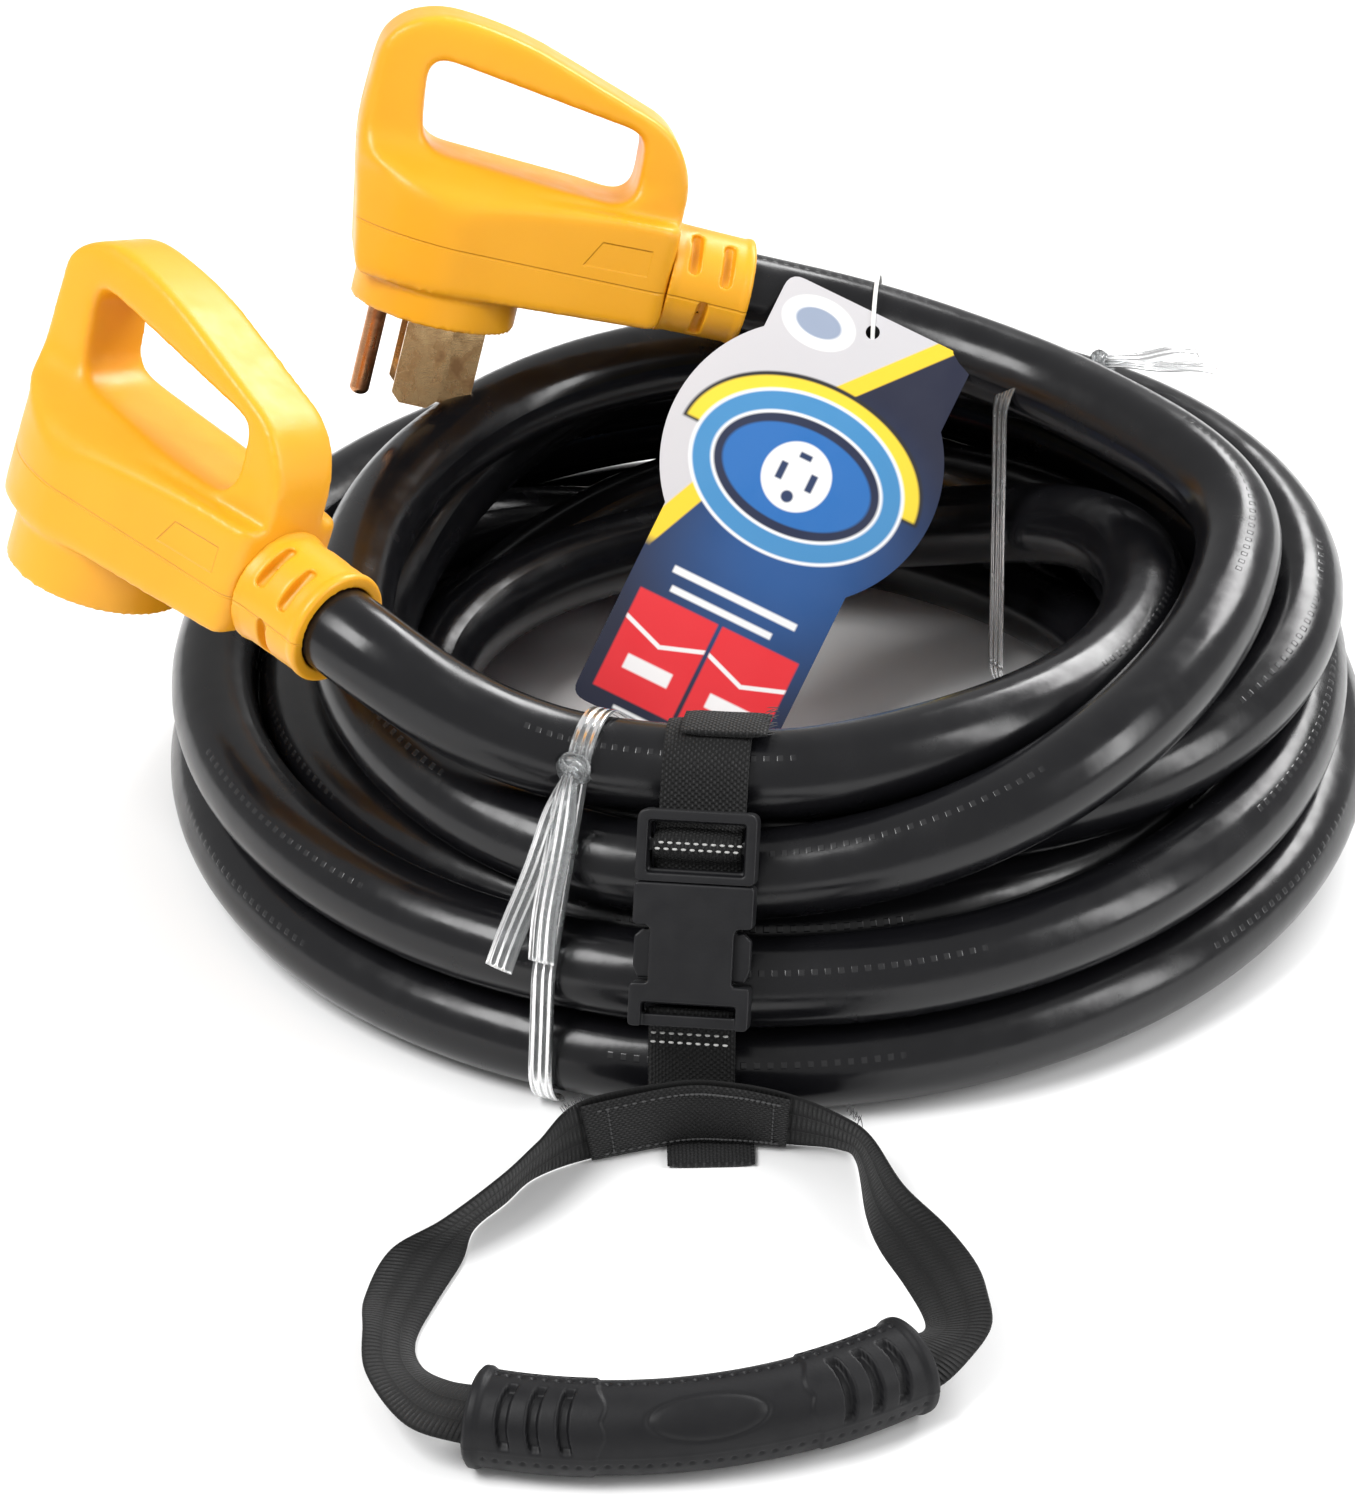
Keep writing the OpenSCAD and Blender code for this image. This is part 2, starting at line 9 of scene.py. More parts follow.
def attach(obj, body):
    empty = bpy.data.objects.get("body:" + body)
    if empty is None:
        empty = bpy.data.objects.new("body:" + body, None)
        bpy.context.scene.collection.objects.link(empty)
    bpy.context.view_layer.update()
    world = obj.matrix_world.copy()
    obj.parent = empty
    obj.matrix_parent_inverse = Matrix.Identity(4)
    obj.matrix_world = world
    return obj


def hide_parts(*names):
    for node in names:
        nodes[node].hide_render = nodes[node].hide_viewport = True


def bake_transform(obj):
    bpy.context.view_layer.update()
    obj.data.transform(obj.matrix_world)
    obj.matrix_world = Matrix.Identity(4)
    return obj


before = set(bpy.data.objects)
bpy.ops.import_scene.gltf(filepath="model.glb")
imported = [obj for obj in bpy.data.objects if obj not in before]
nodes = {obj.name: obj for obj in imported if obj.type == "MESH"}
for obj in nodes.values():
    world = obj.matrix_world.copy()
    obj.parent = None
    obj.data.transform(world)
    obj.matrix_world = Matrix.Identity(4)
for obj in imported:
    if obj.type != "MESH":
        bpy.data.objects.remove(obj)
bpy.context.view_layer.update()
MM = 0.001


# ---------------------------------------------------------------- camera, floor, light

def make_camera():
    data = bpy.data.cameras.new("camera")
    data.sensor_fit = "AUTO"
    data.sensor_width = 36.0
    data.lens = 112.8
    data.shift_x = -0.0537
    data.shift_y = -0.0587
    data.clip_start, data.clip_end = 0.05, 50.0
    cam = bpy.data.objects.new("camera", data)
    bpy.context.scene.collection.objects.link(cam)
    turn, lift, away = math.radians(6), math.radians(31), 1.5
    back = Vector((math.sin(turn) * math.cos(lift), -math.cos(turn) * math.cos(lift), math.sin(lift)))
    cam.location = Vector((0, 0, 0.05)) + back * away
    cam.rotation_mode = "QUATERNION"
    cam.rotation_quaternion = (-back).to_track_quat("-Z", "Y")
    bpy.context.scene.camera = cam


def area_light(name, place, aim, size, power, colour=(1, 1, 1)):
    data = bpy.data.lights.new(name, "AREA")
    data.shape = "RECTANGLE"
    data.size, data.size_y = size
    data.energy = power
    data.color = colour
    lamp = bpy.data.objects.new(name, data)
    bpy.context.scene.collection.objects.link(lamp)
    lamp.location = place
    lamp.rotation_mode = "QUATERNION"
    lamp.rotation_quaternion = (Vector(aim) - Vector(place)).to_track_quat("-Z", "Y")


def make_stage():
    mesh = bpy.data.meshes.new("floor")
    side = 6.0
    corners = [(-side, -side, 0), (side, -side, 0), (side, side, 0), (-side, side, 0)]
    mesh.from_pydata(corners, [], [(0, 1, 2, 3)])
    floor = bpy.data.objects.new("floor", mesh)
    bpy.context.scene.collection.objects.link(floor)
    mat = bpy.data.materials.new("floor_white")
    mat.use_nodes = True
    shade = mat.node_tree.nodes["Principled BSDF"]
    shade.inputs["Base Color"].default_value = (0.93, 0.93, 0.93, 1)
    shade.inputs["Roughness"].default_value = 0.75
    shade.inputs["Specular IOR Level"].default_value = 0.2
    mesh.materials.append(mat)
    world = bpy.data.worlds.new("studio")
    bpy.context.scene.world = world
    world.use_nodes = True
    glow = world.node_tree.nodes["Background"]
    glow.inputs["Color"].default_value = (1, 1, 1, 1)
    glow.inputs["Strength"].default_value = 0.6
    area_light("key", (-0.9, -0.9, 1.7), (0, 0, 0.05), (0.9, 0.9), 35)
    area_light("rim", (0.9, 1.2, 1.3), (0, 0, 0.08), (1.4, 0.5), 34)
    area_light("side", (1.5, -0.5, 0.9), (0, 0, 0.05), (0.35, 1.2), 14)
    view = bpy.context.scene.view_settings
    view.view_transform = "Standard"
    view.look = "None"


# ---------------------------------------------------------------- the cord's route

CORD_D = 0.0266
STRAND = 13.3  # radius of the cord in mm, as the strap and the ties are laid round it
# Radius and height (mm) of each turn's strand on the right, in front, on the left and at the back.
# These, the two leads below and LOOP were read off the photo's fitted view, then set one by one.
TURNS = [
    ((150, 100), (151, 66), (121, 81), (124, 95)),
    ((173, 86), (125, 64), (122, 54), (157, 83)),
    ((172.5, 57), (165, 41), (170, 49), (165, 62)),
    ((173.5, 14), (169, 13.5), (171, 14), (173, 37)),
    ((154, 14), (141, 13.5), (144, 15), (173, 13.5)),
    ((150, 41), (139, 39.5), (147, 43), (145.5, 14)),
    ((126, 27), (114, 13.5), (118, 14), (147, 40)),
    ((124, 53), (113, 40), (118, 28), (120, 27)),
    ((128, 79), (137, 92)),
]
FROM_PLUG = [(-40.2, 88.6, 141.9), (-14.5, 92.6, 134.7), (-1.2, 94.7, 131), (17, 95.5, 127),
             (36, 93, 122.5), (56, 88, 118), (76, 80.5, 114), (96, 68.5, 111)]
TO_SOCKET = [(-34, -134, 95), (-55, -135, 101), (-77, -134, 110), (-99.1, -130, 124.5),
             (-110, -121.4, 126.6), (-130.9, -104.8, 130.6)]


def eased(keys, t):
    """Smooth values between keys, without overshoot."""
    ts = np.array([k[0] for k in keys], float)
    vs = np.array([k[1] for k in keys], float)
    slope = np.diff(vs, axis=0) / np.diff(ts)[:, None]
    m = np.zeros_like(vs)
    for c in range(vs.shape[1]):
        for i in range(1, len(ts) - 1):
            a, b = slope[i - 1, c], slope[i, c]
            m[i, c] = 0 if a * b <= 0 else 2 * a * b / (a + b)
    i = np.clip(np.searchsorted(ts, t, side="right") - 1, 0, len(ts) - 2)
    h = (ts[i + 1] - ts[i])
    s = ((t - ts[i]) / h)[:, None]
    h = h[:, None]
    return (vs[i] * (2 * s**3 - 3 * s**2 + 1) + h * m[i] * (s**3 - 2 * s**2 + s)
            + vs[i + 1] * (3 * s**2 - 2 * s**3) + h * m[i + 1] * (s**3 - s**2))


# Middles (radius, height) of the strands that the strap and the front tie hold
BUNDLE = [(114, 13.3), (170, 13.3), (166, 42), (133, 92), (114, 74)]
FRONT_BUNDLE = [(114, 14.3), (170, 14.3), (166, 42), (137.4, 93.6), (114, 74)]


def held(p, angle_from, angle_to, middles):
    """Points between two angles, moved inside the hull of the strands' middles."""
    angle = np.degrees(np.arctan2(p[:, 1], p[:, 0]))
    here = (angle > angle_from) & (angle < angle_to)
    r = np.hypot(p[:, 0], p[:, 1])
    was = r.copy()
    for a, b in zip(middles, middles[1:] + middles[:1]):
        long = math.hypot(b[0] - a[0], b[1] - a[1])
        out = ((b[1] - a[1]) / long, (a[0] - b[0]) / long)
        over = np.where(here, np.maximum((r - a[0]) * out[0] + (p[:, 2] - a[1]) * out[1], 0), 0)
        r = r - over * out[0]
        p[:, 2] -= over * out[1]
    p[:, :2] *= (r / was)[:, None]
    return p


# How the strands are pushed apart: distances in mm, then shares of a move
ROUNDS = 600
SPARE_GAP = 1.0
SAME_RUN = 70  # points nearer than this along the cord don't push each other
LOOK_ROUND = 14
LOWEST = 13.4
PUSH, GAIN, SMOOTHING, PULL_HOME = 0.25, 2.0, 0.3, 0.004


def cord_route(step=12.0):
    """Centreline in mm: keyed turns, then pushed apart; strands still press into each other in places."""
    values = [value for row in TURNS for value in row]
    keys = [(-45.0, (100, 118))] + [(90.0 * k, value) for k, value in enumerate(values)]
    t = np.arange(-15, keys[-1][0] + 1e-6, step)
    rz = eased(keys, t)
    turn = np.radians(-t)
    core = np.stack([rz[:, 0] * np.cos(turn), rz[:, 0] * np.sin(turn), rz[:, 1]], 1)
    p = np.concatenate([np.array(FROM_PLUG, float), core, np.array(TO_SOCKET, float)])
    home = p.copy()
    lock = np.zeros(len(p), bool)
    lock[:4] = lock[-4:] = True
    n, d = len(p), CORD_D * 1000 + SPARE_GAP
    run = np.r_[0, np.cumsum(np.linalg.norm(np.diff(p, axis=0), axis=1))]
    one, two = np.triu_indices(n, 1)
    apart = run[two] - run[one] > SAME_RUN
    one, two = one[apart], two[apart]
    bent = np.zeros_like(p)
    bent[1:-1] = (home[:-2] + home[2:]) / 2 - home[1:-1]
    for _ in range(ROUNDS):
        near = np.linalg.norm(p[two] - p[one], axis=1) < d + LOOK_ROUND
        move, count = np.zeros_like(p), np.zeros(n)
        i, j = one[near], two[near]
        for a, b in ((i, j), (j, i)):
            for side in (-1, 1):
                c = b + side
                ok = (c >= 0) & (c < n)
                aa, bb, cc = a[ok], b[ok], c[ok]
                u, w = p[cc] - p[bb], p[aa] - p[bb]
                q = np.clip((u * w).sum(1) / np.maximum((u * u).sum(1), 1e-9), 0, 1)
                g = p[aa] - (p[bb] + u * q[:, None])
                away = np.linalg.norm(g, axis=1)
                hit = away < d
                aa, bb, cc, g, q = aa[hit], bb[hit], cc[hit], g[hit], q[hit]
                away = np.maximum(away[hit], 1e-6)
                push = g / away[:, None] * ((d - away)[:, None]) * PUSH
                for index, shift in ((aa, push), (bb, -push * (1 - q)[:, None]),
                                     (cc, -push * q[:, None])):
                    np.add.at(move, index, shift)
                    np.add.at(count, index, 1)
        new = p + move / np.maximum(count, 1)[:, None] * GAIN
        lap = np.zeros_like(p)
        lap[1:-1] = (p[:-2] + p[2:]) / 2 - p[1:-1]
        new += SMOOTHING * (lap - bent)
        new += PULL_HOME * (home - new)
        new = held(new, -99, -81, BUNDLE)
        new = held(new, -112, -99, FRONT_BUNDLE)
        new[:, 2] = np.maximum(new[:, 2], LOWEST)
        new[lock] = home[lock]
        p = new
    return p


def spline_points(p, parts):
    """Catmull-Rom points through p."""
    out = []
    for i in range(len(p) - 1):
        a, b, c, d = p[max(i - 1, 0)], p[i], p[i + 1], p[min(i + 2, len(p) - 1)]
        for k in range(parts):
            s = k / parts
            out.append(0.5 * (2 * b + (c - a) * s + (2 * a - 5 * b + 4 * c - d) * s * s
                              + (3 * b - a - 3 * c + d) * s**3))
    out.append(p[-1])
    return np.array(out)


def even(points, step):
    """The same line with equally spaced points."""
    points = np.asarray(points, float)
    run = np.r_[0, np.cumsum(np.linalg.norm(np.diff(points, axis=0), axis=1))]
    keep = np.r_[True, np.diff(run) > 1e-6]
    count = max(3, int(run[-1] / step))
    at = np.linspace(0, run[-1], count + 1)
    return np.stack([np.interp(at, run[keep], points[keep, c]) for c in range(points.shape[1])], 1)


make_camera()
make_stage()
route = even(spline_points(cord_route(), 6), 10.0)
for _ in range(2):
    route[3:-3] = 0.5 * route[3:-3] + 0.25 * (route[2:-4] + route[4:-2])
route = spline_points(route * MM, 3)


# ---------------------------------------------------------------- node and mesh helpers

class Shader:
    """Small helper round one material's node tree."""

    def __init__(self, name, colour=(0.5, 0.5, 0.5), rough=0.5, **sockets):
        self.mat = bpy.data.materials.new(name)
        self.mat.use_nodes = True
        self.tree = self.mat.node_tree
        self.out = self.tree.nodes["Principled BSDF"]
        self.out.inputs["Base Color"].default_value = (*colour, 1)
        self.out.inputs["Roughness"].default_value = rough
        for key, value in sockets.items():
            self.out.inputs[key.replace("_", " ")].default_value = value

    def add(self, kind, inputs=(), **settings):
        made = self.tree.nodes.new(kind)
        for key, value in settings.items():
            setattr(made, key, value)
        for key, value in dict(inputs).items():
            self.feed(made.inputs[key], value)
        return made

    def feed(self, socket, value):
        if isinstance(value, bpy.types.NodeSocket):
            self.tree.links.new(value, socket)
        elif isinstance(value, tuple) and len(value) == 3 and socket.type == "RGBA":
            socket.default_value = (*value, 1)
        else:
            socket.default_value = value

    def math(self, how, a, b=0.0):
        made = self.tree.nodes.new("ShaderNodeMath")
        made.operation = how
        for socket, value in zip(made.inputs, (a, b)):
            self.feed(socket, value)
        return made.outputs[0]

    def blend(self, amount, a, b):
        made = self.tree.nodes.new("ShaderNodeMix")
        made.data_type = "RGBA"
        self.feed(made.inputs[0], amount)
        self.feed(made.inputs[6], a)
        self.feed(made.inputs[7], b)
        return made.outputs[2]

    def spread(self, value, low, high, out_low=0.0, out_high=1.0, smooth=False):
        made = self.tree.nodes.new("ShaderNodeMapRange")
        if smooth:
            made.interpolation_type = "SMOOTHSTEP"
        for index, entry in enumerate((value, low, high, out_low, out_high)):
            self.feed(made.inputs[index], entry)
        return made.outputs[0]

    def noise(self, where, scale, detail=3.0, rough=0.5):
        inputs = {"Vector": where, "Scale": scale, "Detail": detail, "Roughness": rough}
        return self.add("ShaderNodeTexNoise", inputs).outputs["Fac"]

    def place(self):
        return self.add("ShaderNodeTexCoord").outputs["Object"]

    def field(self, name):
        return self.add("ShaderNodeAttribute", attribute_name=name).outputs["Vector"]

    def axes(self, vector):
        made = self.add("ShaderNodeSeparateXYZ", {"Vector": vector})
        return made.outputs[0], made.outputs[1], made.outputs[2]

    def bump(self, height, distance, strength=1.0, normal=None):
        inputs = {"Height": height, "Distance": distance, "Strength": strength}
        if normal is not None:
            inputs["Normal"] = normal
        return self.add("ShaderNodeBump", inputs).outputs[0]

    def set(self, **sockets):
        for key, value in sockets.items():
            self.feed(self.out.inputs[key.replace("_", " ")], value)


def mesh_piece(name, verts, faces, body, material, uvs=None):
    """A smooth mesh on a body; with "loop_bend" it goes on no body and its transform is baked into its mesh.
    """
    mesh = bpy.data.meshes.new(name)
    mesh.from_pydata([tuple(map(float, v)) for v in verts], [], faces)
    if uvs is not None:
        layer = mesh.uv_layers.new(name="UVMap")
        index = np.empty(len(mesh.loops), int)
        mesh.loops.foreach_get("vertex_index", index)
        layer.data.foreach_set("uv", np.asarray(uvs, float)[index].ravel())
    mesh.materials.append(material)
    mesh.polygons.foreach_set("use_smooth", [True] * len(mesh.polygons))
    mesh.update()
    made = bpy.data.objects.new(name, mesh)
    bpy.context.scene.collection.objects.link(made)
    if body == "loop_bend":
        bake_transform(made)
    else:
        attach(made, body)
    return made


def rotation(turn):
    """Rotation from roll, pitch and yaw in degrees."""
    roll, pitch, yaw = (math.radians(a) for a in turn)
    return np.array(Matrix.Rotation(yaw, 3, "Z") @ Matrix.Rotation(pitch, 3, "Y")
                    @ Matrix.Rotation(roll, 3, "X"))


def frames_along(path):
    """Tangent and two steady normals at each point of a path."""
    path = np.asarray(path, float)
    tangent = np.gradient(path, axis=0)
    tangent /= np.linalg.norm(tangent, axis=1)[:, None]
    normal = np.cross(tangent[0], (0, 0, 1.0))
    if np.linalg.norm(normal) < 0.1:
        normal = np.cross(tangent[0], (0, 1.0, 0))
    normals = []
    for t in tangent:
        normal = normal - t * np.dot(normal, t)
        normal = normal / np.linalg.norm(normal)
        normals.append(normal)
    normals = np.array(normals)
    return tangent, normals, np.cross(tangent, normals)


def tube_faces(rows, around, closed=True):
    """Quads between rows of points."""
    return [(i * around + j, i * around + (j + 1) % around,
             (i + 1) * around + (j + 1) % around, (i + 1) * around + j)
            for i in range(rows - 1) for j in range(around if closed else around - 1)]


def end_faces(rows, around):
    """One face over each end of a tube."""
    return [tuple(range(around - 1, -1, -1)), tuple((rows - 1) * around + j for j in range(around))]


def sweep(path, profile, closed=True):
    """Vertices, faces and UVs of a profile (two columns) swept along a path."""
    tangent, side, up = frames_along(path)
    path = np.asarray(path, float)
    n, k = len(path), len(profile)
    profile = np.asarray(profile, float)
    verts = path[:, None] + side[:, None] * profile[None, :, 0:1] + up[:, None] * profile[None, :, 1:2]
    run = np.r_[0, np.cumsum(np.linalg.norm(np.diff(path, axis=0), axis=1))]
    round_run = np.r_[0, np.cumsum(np.linalg.norm(np.diff(profile, axis=0), axis=1))]
    uvs = np.stack(np.meshgrid(round_run, run), -1).reshape(-1, 2)
    faces = tube_faces(n, k, closed) + (end_faces(n, k) if closed else [])
    return verts.reshape(-1, 3), faces, uvs


def circle(radius, sides):
    a = np.linspace(0, 2 * math.pi, sides, endpoint=False)
    return np.stack([np.cos(a), np.sin(a)], 1) * radius


def ribbon(low_edge, high_edge, thick, across, parts, bow=0.0):
    """Webbing strip between two edge lines (points in mm); u runs across and v along, in metres."""
    low = spline_points(np.array(low_edge, float) * MM, parts)
    high = spline_points(np.array(high_edge, float) * MM, parts)
    along = np.gradient((low + high) / 2, axis=0)
    out = np.cross(along, high - low)
    out /= np.linalg.norm(out, axis=1)[:, None]
    n = len(low)
    run = np.r_[0, np.cumsum(np.linalg.norm(np.diff((low + high) / 2, axis=0), axis=1))]
    width = float(np.mean(np.linalg.norm(high - low, axis=1)))
    s = np.linspace(0, 1, across)
    # the section is a flat oval: both faces crowned, edges rounded
    crown = 0.5 * thick * MM * np.clip(1 - (2 * s - 1) ** 6, 0.35, 1)
    bulge = (bow * MM * (1 - (2 * s - 1) ** 2))[:, None]
    verts, uvs = [], []
    for i in range(n):
        base = low[i] + (high[i] - low[i]) * s[:, None] + out[i] * bulge
        verts += list(base + out[i] * crown[:, None]) + list((base - out[i] * crown[:, None])[::-1])
        uvs += [(q * width, run[i]) for q in s] + [(q * width, run[i]) for q in s[::-1]]
    faces = tube_faces(n, 2 * across) + end_faces(n, 2 * across)
    return np.array(verts), faces, np.array(uvs)


def moulded_copy(name, source, voxel, rounds, body, material, at, turn, hold, grow=0.0):
    """A CAD solid's mesh, remeshed finely and with its edges rounded.

    hold says how much each point may move; the local attribute is its place in the part's own axes.
    """
    work = bpy.data.objects.new("work", nodes[source].data.copy())
    bpy.context.scene.collection.objects.link(work)
    remesh = work.modifiers.new("remesh", "REMESH")
    remesh.mode = "VOXEL"
    remesh.voxel_size = voxel * MM
    done = bpy.data.meshes.new_from_object(work.evaluated_get(bpy.context.evaluated_depsgraph_get()))
    bpy.data.objects.remove(work)
    n = len(done.vertices)
    v = np.empty(n * 3)
    done.vertices.foreach_get("co", v)
    v = v.reshape(-1, 3)
    e = np.empty(len(done.edges) * 2, int)
    done.edges.foreach_get("vertices", e)
    e = e.reshape(-1, 2)
    degree = np.bincount(e.ravel(), minlength=n)[:, None]
    weight = hold((v - at) @ turn / MM)[:, None]

    def average(p):
        total = np.zeros_like(p)
        for c in range(3):
            total[:, c] = np.bincount(e[:, 0], p[e[:, 1], c], n) + np.bincount(e[:, 1], p[e[:, 0], c], n)
        return total / np.maximum(degree, 1)

    for _ in range(rounds):
        v = v + 0.5 * weight * (average(v) - v)
    done.vertices.foreach_set("co", v.ravel())
    if grow:
        done.update()
        normal = np.empty(n * 3)
        done.vertices.foreach_get("normal", normal)
        v = v + normal.reshape(-1, 3) * grow * MM * weight
        done.vertices.foreach_set("co", v.ravel())
    done.materials.clear()
    done.materials.append(material)
    done.polygons.foreach_set("use_smooth", [True] * len(done.polygons))
    field = done.attributes.new("local", "FLOAT_VECTOR", "POINT")
    field.data.foreach_set("vector", ((v - at) @ turn).ravel())
    done.update()
    done.name = name
    made = bpy.data.objects.new(name, done)
    bpy.context.scene.collection.objects.link(made)
    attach(made, body)
    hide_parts(source)
    return made


# ---------------------------------------------------------------- materials

def jacket_material():
    m = Shader("jacket_black", (0.005, 0.005, 0.006), 0.2, Specular_IOR_Level=0.36)
    u, v, _ = m.axes(m.add("ShaderNodeUVMap").outputs[0])
    where = m.place()
    wave = m.noise(where, 38.0, 2.0)
    fine = m.noise(where, 420.0, 3.0)
    # embossed row of plain dashes along the jacket
    dash = m.math("SINE", m.math("MULTIPLY", v, 1700.0))
    dash = m.spread(dash, 0.0, 0.5, smooth=True)
    group = m.spread(m.math("SINE", m.math("MULTIPLY", v, 34.0)), 0.1, 0.2, smooth=True)
    bands = [m.spread(m.math("ABSOLUTE", m.math("SUBTRACT", u, middle)), 0.0007, 0.0011, 1.0, 0.0, True)
             for middle in (0.030, 0.062)]
    mark = m.math("MULTIPLY", m.math("MULTIPLY", dash, group), m.math("ADD", *bands))
    bumped = m.bump(wave, 0.0007, 0.55)
    bumped = m.bump(fine, 0.00006, 0.35, bumped)
    bumped = m.bump(mark, 0.0001, 0.6, bumped)
    m.set(Normal=bumped, Roughness=m.spread(m.noise(where, 90.0, 4.0), 0.3, 0.75, 0.16, 0.30),
          Base_Color=m.blend(m.math("MULTIPLY", mark, 0.6), (0.005, 0.005, 0.006), (0.026, 0.026, 0.027)))
    return m.mat


def yellow_material():
    m = Shader("moulded_yellow", (0.95, 0.47, 0.016), 0.36, Specular_IOR_Level=0.42,
               Subsurface_Weight=0.12, Subsurface_Scale=0.004)
    m.out.inputs["Subsurface Radius"].default_value = (1.0, 0.5, 0.15)
    where = m.place()
    local = m.field("local")
    x, y, z = m.axes(local)
    side = m.math("ABSOLUTE", y)
    # parting line round the skirt, dipping towards the rear
    line = m.math("SUBTRACT", z, m.math("ADD", 0.0268, m.math("MULTIPLY", x, -0.02)))
    crease = m.spread(m.math("ABSOLUTE", line), 0.00018, 0.00055, 0.0, 1.0, True)
    on_skirt = m.spread(side, 0.0135, 0.016)
    crease = m.math("ADD", crease, m.math("SUBTRACT", 1.0, on_skirt))
    crease = m.math("MINIMUM", crease, 1.0)
    # recessed slanted panel near the rear of the skirt
    slant = m.math("SUBTRACT", x, m.math("MULTIPLY", z, 0.55))
    left = m.spread(slant, 0.0245, 0.0252, 0.0, 1.0, True)
    right = m.spread(x, 0.0625, 0.0632, 1.0, 0.0, True)
    low = m.spread(z, 0.0300, 0.0306, 0.0, 1.0, True)
    high = m.spread(z, 0.0384, 0.0390, 1.0, 0.0, True)
    panel = m.math("MULTIPLY", m.math("MULTIPLY", left, right), m.math("MULTIPLY", low, high))
    panel = m.math("SUBTRACT", 1.0, m.math("MULTIPLY", panel, on_skirt))
    grain = m.noise(where, 900.0, 2.0)
    soft = m.noise(where, 45.0, 2.0)
    bumped = m.bump(soft, 0.0005, 0.25)
    bumped = m.bump(grain, 0.00005, 0.4, bumped)
    bumped = m.bump(crease, 0.0004, 0.9, bumped)
    bumped = m.bump(panel, 0.0005, 0.9, bumped)
    tint = m.blend(m.spread(m.noise(where, 20.0, 3.0), 0.35, 0.7), (0.74, 0.335, 0.010), (0.78, 0.365, 0.014))
    m.set(Normal=bumped, Base_Color=tint,
          Roughness=m.spread(m.noise(where, 120.0, 3.0), 0.3, 0.7, 0.32, 0.44))
    return m.mat


def metal_material(name, light, dark, rough=0.34):
    m = Shader(name, light, rough, Metallic=1.0)
    where = m.place()
    stain = m.spread(m.noise(where, 160.0, 5.0, 0.6), 0.36, 0.68)
    drawn = m.add("ShaderNodeMapping", {"Vector": where, "Scale": (90.0, 90.0, 900.0)})
    scratch = m.noise(drawn.outputs[0], 4.0, 3.0)
    m.set(Base_Color=m.blend(stain, light, dark), Normal=m.bump(scratch, 0.00006, 0.5),
          Roughness=m.spread(stain, 0.0, 1.0, rough - 0.08, rough + 0.14))
    return m.mat


def plastic_material(name, colour, rough=0.45, grain=700.0, depth=0.00005, level=0.4):
    m = Shader(name, colour, rough, Specular_IOR_Level=level)
    where = m.place()
    lighter = tuple(min(1.0, c * 1.25 + 0.002) for c in colour)
    bumped = m.bump(m.noise(where, grain, 3.0), depth, 0.5)
    m.set(Normal=m.bump(m.noise(where, 60.0, 2.0), 0.0002, 0.3, bumped),
          Base_Color=m.blend(m.noise(where, 50.0, 3.0), colour, lighter),
          Roughness=m.spread(m.noise(where, 140.0, 4.0), 0.3, 0.7, rough - 0.06, rough + 0.08))
    return m.mat


def webbing_material(name, rib, yarn, stagger, light=0.020, dark=0.003):
    """Woven webbing: rib is the pitch along the strap and yarn across it, in metres; light and dark are the
    painted highlight on the weave's peaks and the painted shade in its valleys.
    """
    m = Shader(name, (0.01, 0.01, 0.011), 0.6, Specular_IOR_Level=0.28,
               Sheen_Weight=0.05, Sheen_Roughness=0.5)
    u, v, _ = m.axes(m.add("ShaderNodeUVMap").outputs[0])
    where = m.place()
    wobble = m.math("MULTIPLY", m.math("SUBTRACT", m.noise(where, 160.0, 2.0), 0.5), 0.0005)
    row = m.math("DIVIDE", m.math("ADD", u, wobble), yarn)
    step = m.math("MULTIPLY", m.math("FLOOR", row), stagger)
    turn = m.math("ADD", m.math("DIVIDE", m.math("ADD", v, wobble), rib), step)
    along = m.math("ABSOLUTE", m.math("SINE", m.math("MULTIPLY", turn, math.pi)))
    across = m.math("ABSOLUTE", m.math("SINE", m.math("MULTIPLY", row, math.pi)))
    height = m.math("MULTIPLY", m.math("POWER", along, 0.8), m.math("POWER", across, 0.6))
    fibre = m.noise(where, 2200.0, 2.0)
    bumped = m.bump(height, 0.00035, 1.0)
    bumped = m.bump(fibre, 0.00008, 0.5, bumped)
    # lighter colour on the weave's peaks is painted highlight and darker colour in its valleys is painted
    # shade; the peaks are also smoother
    peak_painted_highlight = m.spread(height, 0.45, 1.0)
    peak_painted_highlight = m.math("MULTIPLY", peak_painted_highlight, m.spread(fibre, 0.25, 0.7))
    m.set(Normal=bumped, Roughness=m.spread(peak_painted_highlight, 0.0, 1.0, 0.75, 0.42),
          Base_Color=m.blend(peak_painted_highlight, (dark, dark, dark * 1.05), (light, light, light * 1.03)))
    return m.mat


def rubber_material():
    m = Shader("grip_rubber", (0.01, 0.01, 0.011), 0.58, Specular_IOR_Level=0.22)
    where = m.place()
    bumped = m.bump(m.noise(where, 1100.0, 3.0), 0.00006, 0.6)
    bumped = m.bump(m.noise(where, 35.0, 2.0), 0.0004, 0.3, bumped)
    m.set(Normal=bumped,
          Base_Color=m.blend(m.noise(where, 26.0, 3.0), (0.005, 0.005, 0.006), (0.009, 0.009, 0.010)),
          Roughness=m.spread(m.noise(where, 150.0, 4.0), 0.3, 0.7, 0.42, 0.58))
    return m.mat


